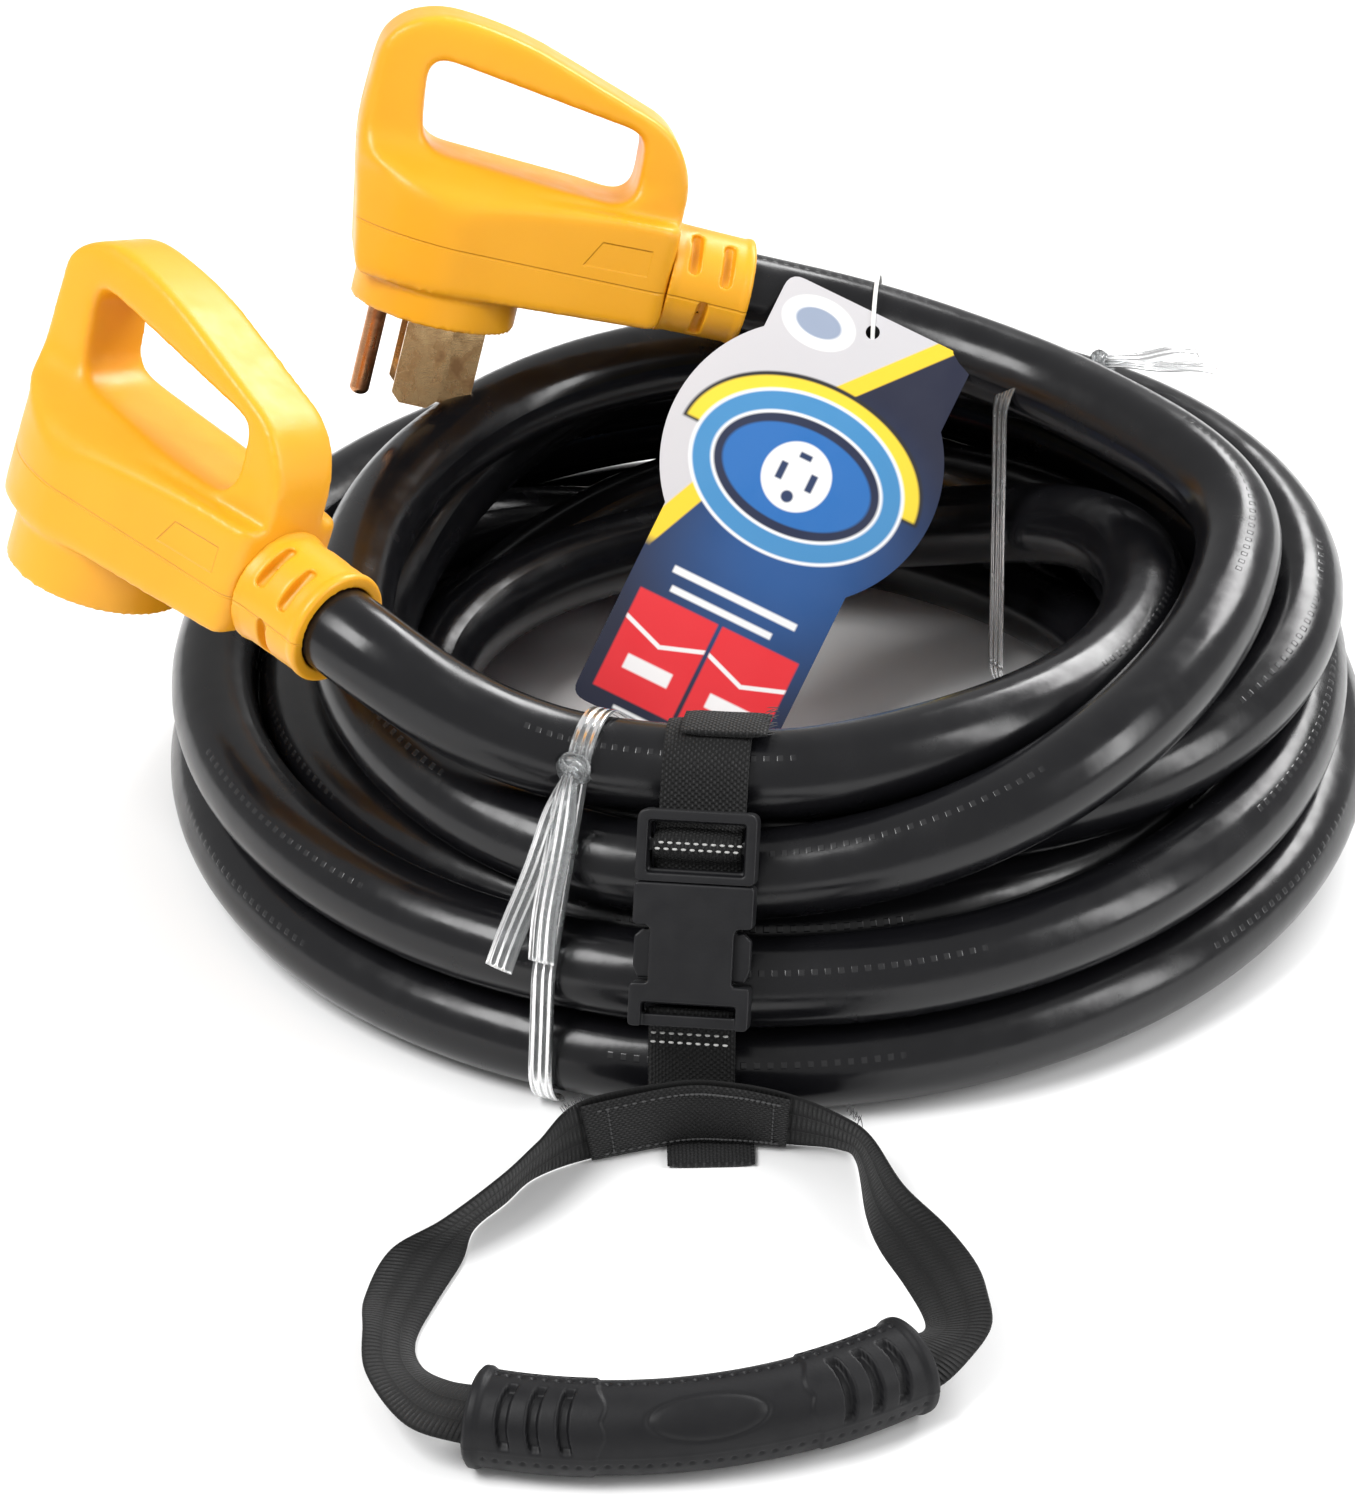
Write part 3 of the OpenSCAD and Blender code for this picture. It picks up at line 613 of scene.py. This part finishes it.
JACKET = jacket_material()
YELLOW = yellow_material()
BRASS = metal_material("contact_brass", (0.86, 0.58, 0.29), (0.42, 0.24, 0.11), 0.24)
COPPER = metal_material("pin_copper", (0.62, 0.31, 0.15), (0.27, 0.12, 0.06), 0.3)
CORE = plastic_material("core_black", (0.012, 0.012, 0.013), 0.5)
ACETAL = plastic_material("buckle_acetal", (0.006, 0.006, 0.007), 0.42, 900.0, 0.00008, 0.26)
# each webbing's light and dark levels (the last two numbers, or the defaults) are its painted highlight and
# painted shade of the weave
WEB = webbing_material("webbing_strap", 0.0017, 0.0010, 0.5)
WEB_RIB = webbing_material("webbing_rib", 0.0014, 0.0085, 0.0, 0.014, 0.0025)
RUBBER = rubber_material()
WHITE = plastic_material("white_nylon", (0.80, 0.80, 0.78), 0.4)


# ---------------------------------------------------------------- cord

def make_cord():
    sides = 36
    ring = circle(CORD_D / 2, sides)
    verts, faces, uvs = sweep(route, ring[np.r_[0:sides, 0]], closed=False)
    k = sides + 1
    faces.append(tuple(range(sides - 1, -1, -1)))
    faces.append(tuple((len(route) - 1) * k + j for j in range(sides)))
    made = mesh_piece("cord", verts, faces, "cord_assembly", JACKET, uvs)
    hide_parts("cord_coil", "plug_lead", "socket_lead")
    return made


# ---------------------------------------------------------------- heads

PLUG_AT = np.array([-114, 70.5, 134.6]) * MM
PLUG_TURN = rotation((-13, 15.5, 9))
SOCKET_AT = np.array([-194, -65, 114.6]) * MM
SOCKET_TURN = rotation((-17, 8.5, -38.5))


def body_hold(local):
    """Less rounding low down at the boss, rising to full rounding 15 mm up in the part's own axes."""
    z = local[:, 2]
    return np.clip((z - 9.0) / 6.0, 0.06, 1.0)


def relief_hold(local):
    return np.full(len(local), 0.7)


def make_heads():
    shown = []
    for end, at, turn in (("plug", PLUG_AT, PLUG_TURN), ("socket", SOCKET_AT, SOCKET_TURN)):
        shown.append(moulded_copy(end + "_moulding", end + "_body", 0.9, 22, "cord_assembly",
                                  YELLOW, at, turn, body_hold, 0.35))
        shown.append(moulded_copy(end + "_strain_relief", end + "_relief", 0.5, 6, "cord_assembly",
                                  YELLOW, at, turn, relief_hold))
    return shown


def dress(names, material):
    for name in names:
        mesh = nodes[name].data
        mesh.materials.clear()
        mesh.materials.append(material)


cord = make_cord()
heads = make_heads()

dress(["hot_blade_front", "hot_blade_rear", "neutral_blade"], BRASS)
dress(["hot_contact_front", "hot_contact_rear", "neutral_contact", "ground_contact"], BRASS)
dress(["ground_pin"], COPPER)
dress(["plug_core", "socket_core"], CORE)
dress(["loop_core"], WEB_RIB)
dress(["tag_fastener"], WHITE)


# ---------------------------------------------------------------- soft bands and strips

def taut_outline(middles, away, steps=10):
    """Closed line at a distance from the hull of the strands' middles (radius, height)."""
    out = []
    n = len(middles)
    for i, p in enumerate(middles):
        before, after = middles[i - 1], middles[(i + 1) % n]
        a = math.atan2(before[0] - p[0], p[1] - before[1])
        b = math.atan2(p[0] - after[0], after[1] - p[1])
        sweep_by = (b - a) % (2 * math.pi)
        turns = [a + sweep_by * k / steps for k in range(steps + 1)]
        out += [(p[0] + away * math.cos(turn), p[1] + away * math.sin(turn)) for turn in turns]
    return np.array(out)


def band_points(angle, outline):
    """Three-dimensional points of a line of radius and height at an angle."""
    a = math.radians(angle)
    return np.stack([outline[:, 0] * math.cos(a), outline[:, 0] * math.sin(a), outline[:, 1]], 1)


def across(angle):
    a = math.radians(angle)
    return np.array([-math.sin(a), math.cos(a), 0])


# Rings of one stitch: share of its length, of its radius and lift off the cloth
STITCH = ((-0.5, 0.35, -0.5), (-0.3, 0.9, 0.1), (0, 1.0, 0.35), (0.3, 0.9, 0.1), (0.5, 0.35, -0.5))
STITCH_SIDES = 7


def threads(name, spots, length, radius, body, material):
    """Short rounded stitches; each spot is a middle, a direction and a normal, in mm."""
    one = tube_faces(len(STITCH), STITCH_SIDES) + end_faces(len(STITCH), STITCH_SIDES)
    verts, faces = [], []
    for middle, along, normal in spots:
        middle, along, normal = (np.asarray(v, float) for v in (middle, along, normal))
        along, normal = along / np.linalg.norm(along), normal / np.linalg.norm(normal)
        side = np.cross(along, normal)
        base = len(verts)
        for s, r, lift in STITCH:
            for k in range(STITCH_SIDES):
                a = 2 * math.pi * k / STITCH_SIDES
                verts.append((middle + along * s * length + normal * (lift + math.sin(a) * r) * radius
                              + side * math.cos(a) * r * radius * 1.2) * MM)
        faces += [tuple(base + corner for corner in face) for face in one]
    return mesh_piece(name, verts, faces, body, material)


BUCKLE_AT = np.array([0, -174, 68.4])
BUCKLE_TURN = rotation((-30, 0, 0))


def on_buckle(x, y, z):
    return BUCKLE_AT + BUCKLE_TURN @ np.array([x, y, z], float)


def make_strap():
    outline = taut_outline(BUNDLE, STRAND + 0.8 + 0.9)
    line = band_points(-90, np.concatenate([outline, outline[:1]]))
    line = even(line, 1.5)[:-1]
    up = (line - BUCKLE_AT) @ BUCKLE_TURN
    front = np.abs(up[:, 1] - 4) < 6
    gone = front & (up[:, 2] > -29) & (up[:, 2] < 23)
    first = int(np.where(gone & ~np.roll(gone, -1))[0][0]) + 1
    line = np.roll(line, -first, axis=0)[: int((~gone).sum())]
    # over the bar at the buckle's top, and out to its foot
    roll = [on_buckle(0, y, z) for y, z in ((2.6, 13), (1.6, 16.6), (-1.6, 18.0), (-3.5, 19.6),
                                            (-3.7, 21.4), (-2.2, 23.2), (0.6, 24.2), (3.2, 25.4))]
    feet = [on_buckle(0, y, z) for y, z in ((3.0, -30.4), (0.8, -28.4), (-0.4, -26.0))]
    line = even(np.concatenate([roll, line[2:], feet]), 2.2)
    half = np.array([12.6, 0, 0])
    verts, faces, uvs = ribbon(line - half, line + half, 1.7, 22, 2)
    strap = mesh_piece("strap", verts, faces, "cord_assembly", WEB, uvs)
    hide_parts("strap_webbing")
    # short ends: one lies on top of the strap, one under the carry loop
    z0 = 92 + STRAND + 0.8 + 2.7
    tip = np.array([(-8, -138.5, z0 + 0.1), (-8, -134, z0), (-8, -129, z0 - 0.9), (-8, -123, z0 - 2.6)])
    verts, faces, uvs = ribbon(tip, tip + (25.2, 0, 0.3), 1.7, 22, 4, 0.3)
    end = mesh_piece("strap_end_piece", verts, faces, "cord_assembly", WEB, uvs)
    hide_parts("strap_end")
    a = math.radians(8)
    ahead, side = np.array([-math.sin(a), math.cos(a), 0]), np.array([math.cos(a), math.sin(a), 0])
    low = np.array([np.array([-5, -202, 1.2]) + ahead * s + (0, 0, 0.25 * math.sin(s / 3))
                    for s in (0, 4, 8, 12, 16)])
    verts, faces, uvs = ribbon(low, low + side * 25.3, 1.7, 22, 4, 0.4)
    tail = mesh_piece("strap_tail_piece", verts, faces, "cord_assembly", WEB_PALE, uvs)
    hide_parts("strap_tail")
    ahead, outward = (1, 0, 0), BUCKLE_TURN @ np.array([0, -1.0, 0])
    spots = [(on_buckle(-10.4 + 2.6 * k, 3.1, z), ahead, outward) for z in (-33.4, -36.0) for k in range(9)]
    for row, (y, z) in enumerate(((-4.6, 19.8), (-4.5, 21.6))):
        spots += [(on_buckle(-11.2 + 2.5 * k + row, y, z), ahead, outward) for k in range(10)]
    threads("strap_stitches", spots, 1.5, 0.32, "cord_assembly", THREAD)
    # loose threads at the cut end on top
    strands = []
    for k in range(16):
        x = 17.3 + 0.5 * math.sin(k * 2.1)
        strands.append(((x, -138 + k, z0 + 0.3 + 0.3 * math.sin(k * 1.7)),
                        (1.0, 0.5 * math.sin(k * 3.3), 0.3), (0, 0, 1)))
    threads("strap_fray", strands, 4.2, 0.13, "cord_assembly", FIBRE)


def make_buckle():
    def keep(local):
        return np.ones(len(local))

    at, turn = BUCKLE_AT * MM, BUCKLE_TURN
    for name, source, body in (("buckle_frame", "buckle_male", "cord_assembly"),
                               ("buckle_housing", "buckle_female", "cord_assembly"),
                               ("buckle_left_arm", "buckle_arm_left", "buckle_arm_left"),
                               ("buckle_right_arm", "buckle_arm_right", "buckle_arm_right")):
        moulded_copy(name, source, 0.34, 5, body, ACETAL, at, turn, keep)


# Carry loop stations (mm): the strip's inner or lower edge, then its outer or upper edge
LOOP = [
    ((-28, -320.5, 13), (-30, -343.6, 13)), ((-38, -319, 13), (-42, -342, 13)),
    ((-50, -313, 9), (-58, -337, 14)), ((-60, -301, 3.2), (-71, -321, 17)),
    ((-64, -288, 1.2), (-75, -303, 18)), ((-61, -270, 1), (-78, -284, 13)),
    ((-57, -252, 1), (-74, -266, 15)), ((-56, -237, 1), (-61, -255, 18)),
    ((-49, -224, 1), (-47, -239, 22)), ((-42, -211, 1), (-39, -224, 23)),
    ((-27, -200, 1), (-29, -206, 25)), ((-3, -189.6, 1), (-3, -195, 26)),
    ((12, -187.6, 1), (13, -194, 26)), ((28, -187.6, 1), (30, -196, 24.6)),
    ((43, -188.5, 1), (45, -201, 22)), ((49, -194, 1), (54, -208, 20.5)),
    ((54, -219, 1), (65, -230, 21)), ((59, -234, 1), (78, -242, 17)),
    ((67, -249, 1), (87, -256, 16)), ((73, -262, 1.4), (91, -270, 17)),
    ((74.5, -272, 4), (93, -284, 17)), ((71, -281, 9), (88, -296, 15)),
    ((64.4, -288.5, 13), (80.6, -306.1, 13)), ((56, -295.5, 13), (70.5, -313, 13)),
]
SEWN = slice(10, 14)  # the stations under the band sewn over the loop's middle


def make_loop():
    low, high = np.array([s[0] for s in LOOP], float), np.array([s[1] for s in LOOP], float)
    verts, faces, uvs = ribbon(low, high, 1.8, 22, 14)
    web = mesh_piece("carry_loop_webbing", verts, faces, "loop_bend", WEB_RIB, uvs)
    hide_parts("loop_left", "loop_right", "loop_centre")
    # the band sewn over the middle of the loop, with its selvedge and stitches
    low, high = low[SEWN], high[SEWN]
    lift = np.array([0, -1.9, -0.2])
    verts, faces, uvs = ribbon(low + lift + (0, 0, 0.6), high + lift - (0, 0, 0.4), 1.6, 20, 14)
    mesh_piece("loop_overlay", verts, faces, "cord_assembly", WEB, uvs)
    spots = []
    lo, hi = spline_points(low, 12), spline_points(high, 12)
    proud, outward = (0, -0.85, -0.2), (0, -1, 0.25)
    for i in range(3, len(lo) - 3):
        for share in (0.12, 0.88):
            spots.append((lo[i] + (hi[i] - lo[i]) * share + lift + proud, lo[i + 1] - lo[i], outward))
    for i in (4, len(lo) - 5):
        for share in np.linspace(0.15, 0.85, 10):
            spots.append((lo[i] + (hi[i] - lo[i]) * share + lift + proud, hi[i] - lo[i], outward))
    threads("loop_stitches", spots, 1.5, 0.3, "cord_assembly", DARK_THREAD)
    # threads that stick out where the strip turns over
    spots = []
    for k in range(14):
        spots.append((np.array([46.5, -197, 22.3]) + (0.35 * k, -0.5 * k, 0.4 * math.sin(k * 2.3)),
                      (0.5 * math.sin(k * 1.9), 0.25, 1.0), (1, 0, 0)))
        spots.append((np.array([-28.5, -204.5, 25.2]) + (-0.4 * k, -0.5 * k, 0.3 * math.sin(k * 1.3)),
                      (-0.4, 0.5 * math.sin(k * 2.9), 0.8), (1, 0, 0)))
    threads("loop_fray", spots, 3.2, 0.12, "loop_bend", FIBRE)


# ---------------------------------------------------------------- carry grip

def step_between(x, low, high):
    t = np.clip((x - low) / (high - low), 0, 1)
    return t * t * (3 - 2 * t)


def make_grip():
    """Bent moulded grip: flared ends, raised scalloped panels with arched slots, dimples and an oval."""
    radius, span, turn, thick = 134.0, 52.0, 16.5, 13.0
    middle = np.array([20 - radius * math.sin(math.radians(turn)),
                       -327 + radius * math.cos(math.radians(turn)), 13.0])
    long = radius * math.radians(span)
    rows, around = 300, 176
    s = np.linspace(0, long, rows)[:, None]
    phi = np.linspace(-math.pi, math.pi, around, endpoint=False)[None, :]
    from_end = np.minimum(s, long - s)
    front = phi - math.radians(46)
    front = (front + math.pi) % (2 * math.pi) - math.pi
    arc = front * thick
    r = np.full((rows, around), thick - 0.55)
    # flared rims and raised end panels with a scalloped inner edge
    r += 0.75 * (1 - step_between(from_end, 2.4, 4.2)) - 1.1 * (1 - step_between(from_end, 0, 1.0))
    edge = 30 + 3.2 * np.abs(np.sin(1.5 * front)) + 4.0 * (1 - step_between(np.abs(front), 0.2, 0.9))
    r += 0.55 * (1 - step_between(from_end, edge - 0.5, edge + 0.5))
    # arched slots
    for k in range(3):
        centre = 9.5 + 7.6 * k + 1.6 * (front / 0.8) ** 2
        across_slot = 1 - step_between(np.abs(from_end - centre), 1.0, 1.7)
        r -= 2.1 * across_slot * (1 - step_between(np.abs(front), 0.62, 0.78))
    # oval outline on the front
    oval = np.sqrt(((s - long / 2) / 15.0) ** 2 + (arc / 6.6) ** 2)
    r -= 0.42 * np.exp(-((oval - 1) / 0.055) ** 2)
    r += 0.22 * (1 - step_between(oval, 0.8, 0.95))
    # rows of dimples on the top and below
    for place, rows_to in ((1.02, long), (1.28, 36), (-1.05, long)):
        reach = from_end if rows_to < long else s
        inside = (reach > 5) & (reach < rows_to - 2)
        nearest = np.abs((s % 3.4) - 1.7)
        spot = np.sqrt(nearest ** 2 + ((front - place) * thick) ** 2)
        r -= np.where(inside, 0.5 * (1 - step_between(spot, 0.35, 0.95)), 0)
    # moulding seam
    for place in (0.0, math.pi):
        gap_to = np.abs((phi - place + math.pi) % (2 * math.pi) - math.pi) * thick
        r += 0.13 * np.exp(-(gap_to / 0.22) ** 2)
    angle = np.radians(turn - 90 - span / 2) + s / radius
    out = np.concatenate([np.cos(angle), np.sin(angle), np.zeros_like(angle)], 1)[:, None, :]
    # the section sits a little flat on the floor
    height = 13.0 + (np.sin(phi) * r)
    reach = radius + np.cos(phi) * r
    verts = np.empty((rows, around, 3))
    verts[..., 0] = middle[0] + out[..., 0] * reach
    verts[..., 1] = middle[1] + out[..., 1] * reach
    verts[..., 2] = np.maximum(height, 0.35)
    verts = verts.reshape(-1, 3)
    faces = tube_faces(rows, around)
    # ends: a rim, then a recess that the webbing comes out of
    total = len(verts)
    extra = []
    for row, lean in ((0, 1), (rows - 1, -1)):
        ring = verts[row * around:(row + 1) * around]
        heart = ring.mean(axis=0)
        ahead = np.array([-out[row, 0, 1], out[row, 0, 0], 0]) * lean
        last = [row * around + j for j in range(around)]
        for share, deep in ((0.9, -0.2), (0.86, 0.6), (0.84, 4.0)):
            start = total + len(extra)
            extra += list(heart + (ring - heart) * share + ahead * deep)
            now = [start + j for j in range(around)]
            for j in range(around):
                quad = (last[j], last[(j + 1) % around], now[(j + 1) % around], now[j])
                faces.append(quad if lean < 0 else quad[::-1])
            last = now
        faces.append(tuple(last) if lean < 0 else tuple(last[::-1]))
    verts = np.concatenate([verts, np.array(extra)]) * MM
    grip = mesh_piece("carry_grip", verts, faces, "carry_handle", RUBBER)
    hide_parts("handle_grip")


# ---------------------------------------------------------------- ties

REAR_BUNDLE = [(114, 14.8), (170, 14.8), (166, 42), (133, 92), (112.5, 109.5)]


def make_tie(name, source, bundle, clear, angle, knot, swing, lean, tails):
    outline = taut_outline(bundle, STRAND + clear + 0.6)
    line = band_points(angle, np.concatenate([outline, outline[:1]]))
    line = even(line, 2.5)
    side = across(angle) * 3.6
    pieces = [ribbon(line - side, line + side, 1.1, 12, 2, 0.3)]
    ahead = rotation((0, lean, swing + angle))
    a = math.radians(angle)
    place = np.array([knot[0] * math.cos(a), knot[0] * math.sin(a), knot[1]])
    # the knot: three turns pulled tight over each other
    for k in range(3):
        t = np.linspace(0, 2 * math.pi, 25)
        turn = rotation((40 * k, 55 * k, 25 * k))
        ring = np.stack([np.cos(t) * 3.4, np.sin(t) * 4.1, 0.7 * np.sin(2 * t)], 1)
        ring = place + ring @ turn.T @ ahead.T
        pieces.append(sweep(ring * MM, circle(1.0, 12) * [2.1 * MM, 1.1 * MM]))
    for k, (fan, length, wide, curl) in enumerate(tails):
        s = np.linspace(0, 1, 9)
        f = math.radians(fan)
        out = np.stack([s * length * math.cos(f), s * length * math.sin(f) + curl * s * s,
                        0.9 * k + 1.2 * np.sin(s * 2.6) + 0.6 * np.sin(s * 9 + k)], 1)
        edge = np.array([-math.sin(f), math.cos(f), 0.12 * (k - 0.5)]) * wide / 2
        taper = (0.45 + 0.55 * np.clip(s * 5, 0, 1))[:, None]
        low, high = place + (out - edge * taper) @ ahead.T, place + (out + edge * taper) @ ahead.T
        pieces.append(ribbon(low, high, 0.9, 12, 4, 0.35))
    verts, faces, uvs = [], [], []
    for v, f, q in pieces:
        base = len(verts)
        verts += list(v)
        uvs += list(q)
        faces += [tuple(i + base for i in face) for face in f]
    made = mesh_piece(name, verts, faces, "cord_assembly", VINYL, uvs)
    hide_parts(source)


# ---------------------------------------------------------------- tag

TAG_AT = np.array([29.3, 76.4, 130.6]) * MM
TAG_TURN = rotation((0, 0, 4.2)) @ rotation((56.1, 0, 0)) @ rotation((0, 0, -25.2))


def tag_material():
    m = Shader("tag_card", (0.02, 0.08, 0.3), 0.4, Specular_IOR_Level=0.45,
               Coat_Weight=0.25, Coat_Roughness=0.25)
    in_mm = m.add("ShaderNodeVectorMath", {0: m.field("local"), 3: 1000.0}, operation="SCALE")
    x, y, _ = m.axes(in_mm.outputs[0])

    def box(x0, x1, y0, y1, soft=0.35):
        parts = [m.spread(x, x0 - soft, x0 + soft), m.spread(x, x1 - soft, x1 + soft, 1.0, 0.0),
                 m.spread(y, y0 - soft, y0 + soft), m.spread(y, y1 - soft, y1 + soft, 1.0, 0.0)]
        return m.math("MULTIPLY", m.math("MULTIPLY", parts[0], parts[1]),
                      m.math("MULTIPLY", parts[2], parts[3]))

    def oval(cx, cy, rx, ry):
        dx, dy = m.math("SUBTRACT", x, cx), m.math("SUBTRACT", y, cy)
        dx, dy = m.math("DIVIDE", dx, rx), m.math("DIVIDE", dy, ry)
        far = m.math("SQRT", m.math("ADD", m.math("MULTIPLY", dx, dx), m.math("MULTIPLY", dy, dy)))
        soft = 0.35 / min(rx, ry)
        return m.spread(far, 1 - soft, 1 + soft, 1.0, 0.0)

    glow = m.math("SQRT", m.math("ADD", m.math("POWER", m.math("ABSOLUTE", m.math("SUBTRACT", x, 8.0)), 2.0),
                                 m.math("POWER", m.math("ABSOLUTE", m.math("ADD", y, 78.0)), 2.0)))
    colour = m.blend(m.spread(glow, 5.0, 62.0, 1.0, 0.0, True), (0.003, 0.006, 0.030), (0.004, 0.075, 0.27))
    # pale corner, parted from the blue by a yellow stripe
    upper = m.spread(y, -22.0, 8.0, 0.0, 26.0)
    middle = m.spread(y, -66.0, -22.0, -26.0, 0.0)
    lower = m.spread(y, -93.0, -66.0, -12.0, 0.0)
    line = m.math("ADD", m.math("ADD", upper, middle), lower)
    off = m.math("SUBTRACT", x, line)
    colour = m.blend(m.spread(off, -0.4, 0.4, 1.0, 0.0), colour, (0.60, 0.59, 0.61))
    stripe = m.spread(m.math("ABSOLUTE", off), 3.2, 4.0, 1.0, 0.0)
    stripe = m.math("MULTIPLY", stripe, m.spread(y, -94.0, -90.0))
    colour = m.blend(stripe, colour, (0.90, 0.62, 0.02))
    colour = m.blend(oval(-17, -5, 12.5, 8.2), colour, (0.93, 0.93, 0.92))
    colour = m.blend(oval(-17, -5, 8.0, 4.6), colour, (0.30, 0.36, 0.48))
    # banner over the top of the emblem
    arch = m.math("MULTIPLY", oval(-1.5, -51, 42.0, 30.0), m.spread(y, -51.5, -50.5))
    colour = m.blend(arch, colour, (0.01, 0.01, 0.012))
    arch = m.math("MULTIPLY", oval(-1.5, -51, 40.8, 28.6), m.spread(y, -50.5, -49.5))
    colour = m.blend(arch, colour, (0.90, 0.66, 0.03))
    for rx, ry, tint in ((36.5, 27.0, (0.90, 0.91, 0.93)), (35.4, 26.0, (0.05, 0.25, 0.52)),
                         (29.4, 19.8, (0.90, 0.91, 0.93)), (28.4, 18.8, (0.004, 0.012, 0.05)),
                         (25.5, 15.8, (0.01, 0.14, 0.45))):
        colour = m.blend(oval(-1.5, -53, rx, ry), colour, tint)
    # plug face drawn in plain shapes
    colour = m.blend(oval(-1.5, -53, 11.5, 11.5), colour, (0.88, 0.89, 0.90))
    for x0, x1, y0, y1 in ((-8, -5.6, -56, -50), (2.6, 5, -56, -50), (-3.6, 0.6, -46.8, -44.8)):
        colour = m.blend(box(x0, x1, y0, y1), colour, (0.01, 0.03, 0.10))
    colour = m.blend(oval(-1.5, -60, 2.0, 2.0), colour, (0.01, 0.03, 0.10))
    for x0, x1, y0, y1 in ((-24, 20, -98.2, -95.8), (-22, 14, -104.2, -102), (-22, 18, -146.2, -145)):
        colour = m.blend(box(x0, x1, y0, y1), colour, (0.86, 0.87, 0.88))
    for x0, x1 in ((-31, -3), (-1.5, 26)):
        colour = m.blend(box(x0, x1, -142, -107), colour, (0.78, 0.015, 0.025))
        from_middle = m.math("ABSOLUTE", m.math("SUBTRACT", x, (x0 + x1) / 2))
        fold = m.math("ADD", m.math("MULTIPLY", from_middle, 0.35), -122.0)
        notch = m.spread(m.math("ABSOLUTE", m.math("SUBTRACT", y, fold)), 0.5, 1.0, 1.0, 0.0)
        colour = m.blend(m.math("MULTIPLY", notch, box(x0, x1, -142, -107)), colour, (0.90, 0.88, 0.88))
        colour = m.blend(box(x0 + 6, x1 - 6, -133, -128), colour, (0.92, 0.90, 0.90))
    where = m.place()
    grain = m.noise(where, 700.0, 2.0)
    m.set(Base_Color=colour, Roughness=m.spread(m.noise(where, 60.0, 3.0), 0.3, 0.7, 0.34, 0.5),
          Normal=m.bump(grain, 0.00003, 0.5))
    return m.mat


def make_tag():
    mesh = nodes["hang_tag"].data.copy()
    work = bmesh.new()
    work.from_mesh(mesh)
    bmesh.ops.triangulate(work, faces=work.faces[:])
    work.to_mesh(mesh)
    work.free()
    count = len(mesh.vertices)
    v = np.empty(count * 3)
    mesh.vertices.foreach_get("co", v)
    local = (v.reshape(-1, 3) - TAG_AT) @ TAG_TURN
    field = mesh.attributes.new("local", "FLOAT_VECTOR", "POINT")
    field.data.foreach_set("vector", local.ravel())
    mesh.materials.clear()
    mesh.materials.append(tag_material())
    made = bpy.data.objects.new("printed_tag", mesh)
    bpy.context.scene.collection.objects.link(made)
    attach(made, "tag")
    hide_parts("hang_tag")


def vinyl_material():
    m = Shader("clear_vinyl", (0.80, 0.82, 0.83), 0.15, Transmission_Weight=0.93, IOR=1.45)
    u = m.axes(m.add("ShaderNodeUVMap").outputs[0])[0]
    ribs_and_painted_highlight = m.math("SINE", m.math("MULTIPLY", u, 2700.0))
    where = m.place()
    bumped = m.bump(ribs_and_painted_highlight, 0.0003, 0.8)
    # the lighter tint on each rib's crest is painted highlight; the ribs also drive the bump
    m.set(Normal=m.bump(m.noise(where, 120.0, 3.0), 0.0003, 0.4, bumped),
          Base_Color=m.blend(m.spread(ribs_and_painted_highlight, -0.2, 0.9), (0.74, 0.76, 0.77), (0.95, 0.96, 0.96)),
          Roughness=m.spread(m.noise(where, 150.0, 3.0), 0.3, 0.7, 0.12, 0.3))
    return m.mat


# paler webbing for the tail; its last two numbers are the painted highlight and painted shade levels of the
# weave
WEB_PALE = webbing_material("webbing_pale", 0.0016, 0.0011, 0.5, 0.035, 0.006)
THREAD = plastic_material("stitch_thread", (0.36, 0.36, 0.35), 0.55, 900.0, 0.00005)
DARK_THREAD = plastic_material("seam_thread", (0.045, 0.045, 0.046), 0.6, 900.0, 0.00005)
FIBRE = plastic_material("loose_fibre", (0.05, 0.05, 0.052), 0.6, 900.0, 0.00005)
VINYL = vinyl_material()

make_strap()
make_buckle()
make_loop()
make_grip()
make_tie("front_tie_strip", "front_tie", FRONT_BUNDLE, 1.8, -104, (154.2, 101), -12, 60,
         ((-4, 62, 9, -2.0), (5, 56, 9, 2.0)))
make_tie("rear_tie_strip", "rear_tie", REAR_BUNDLE, 2.1, 42, (138, 114.5), -32, 2,
         ((-6, 38, 8, -1.0), (7, 33, 8, 1.5)))
make_tag()

for colour, tint in (("black", (0.02, 0.02, 0.02)), ("red", (0.5, 0.03, 0.02)), ("white", (0.7, 0.7, 0.68)),
                     ("green", (0.03, 0.3, 0.06))):
    wire = plastic_material("wire_" + colour, tint, 0.4)
    dress(["plug_wire_" + colour, "socket_wire_" + colour], wire)
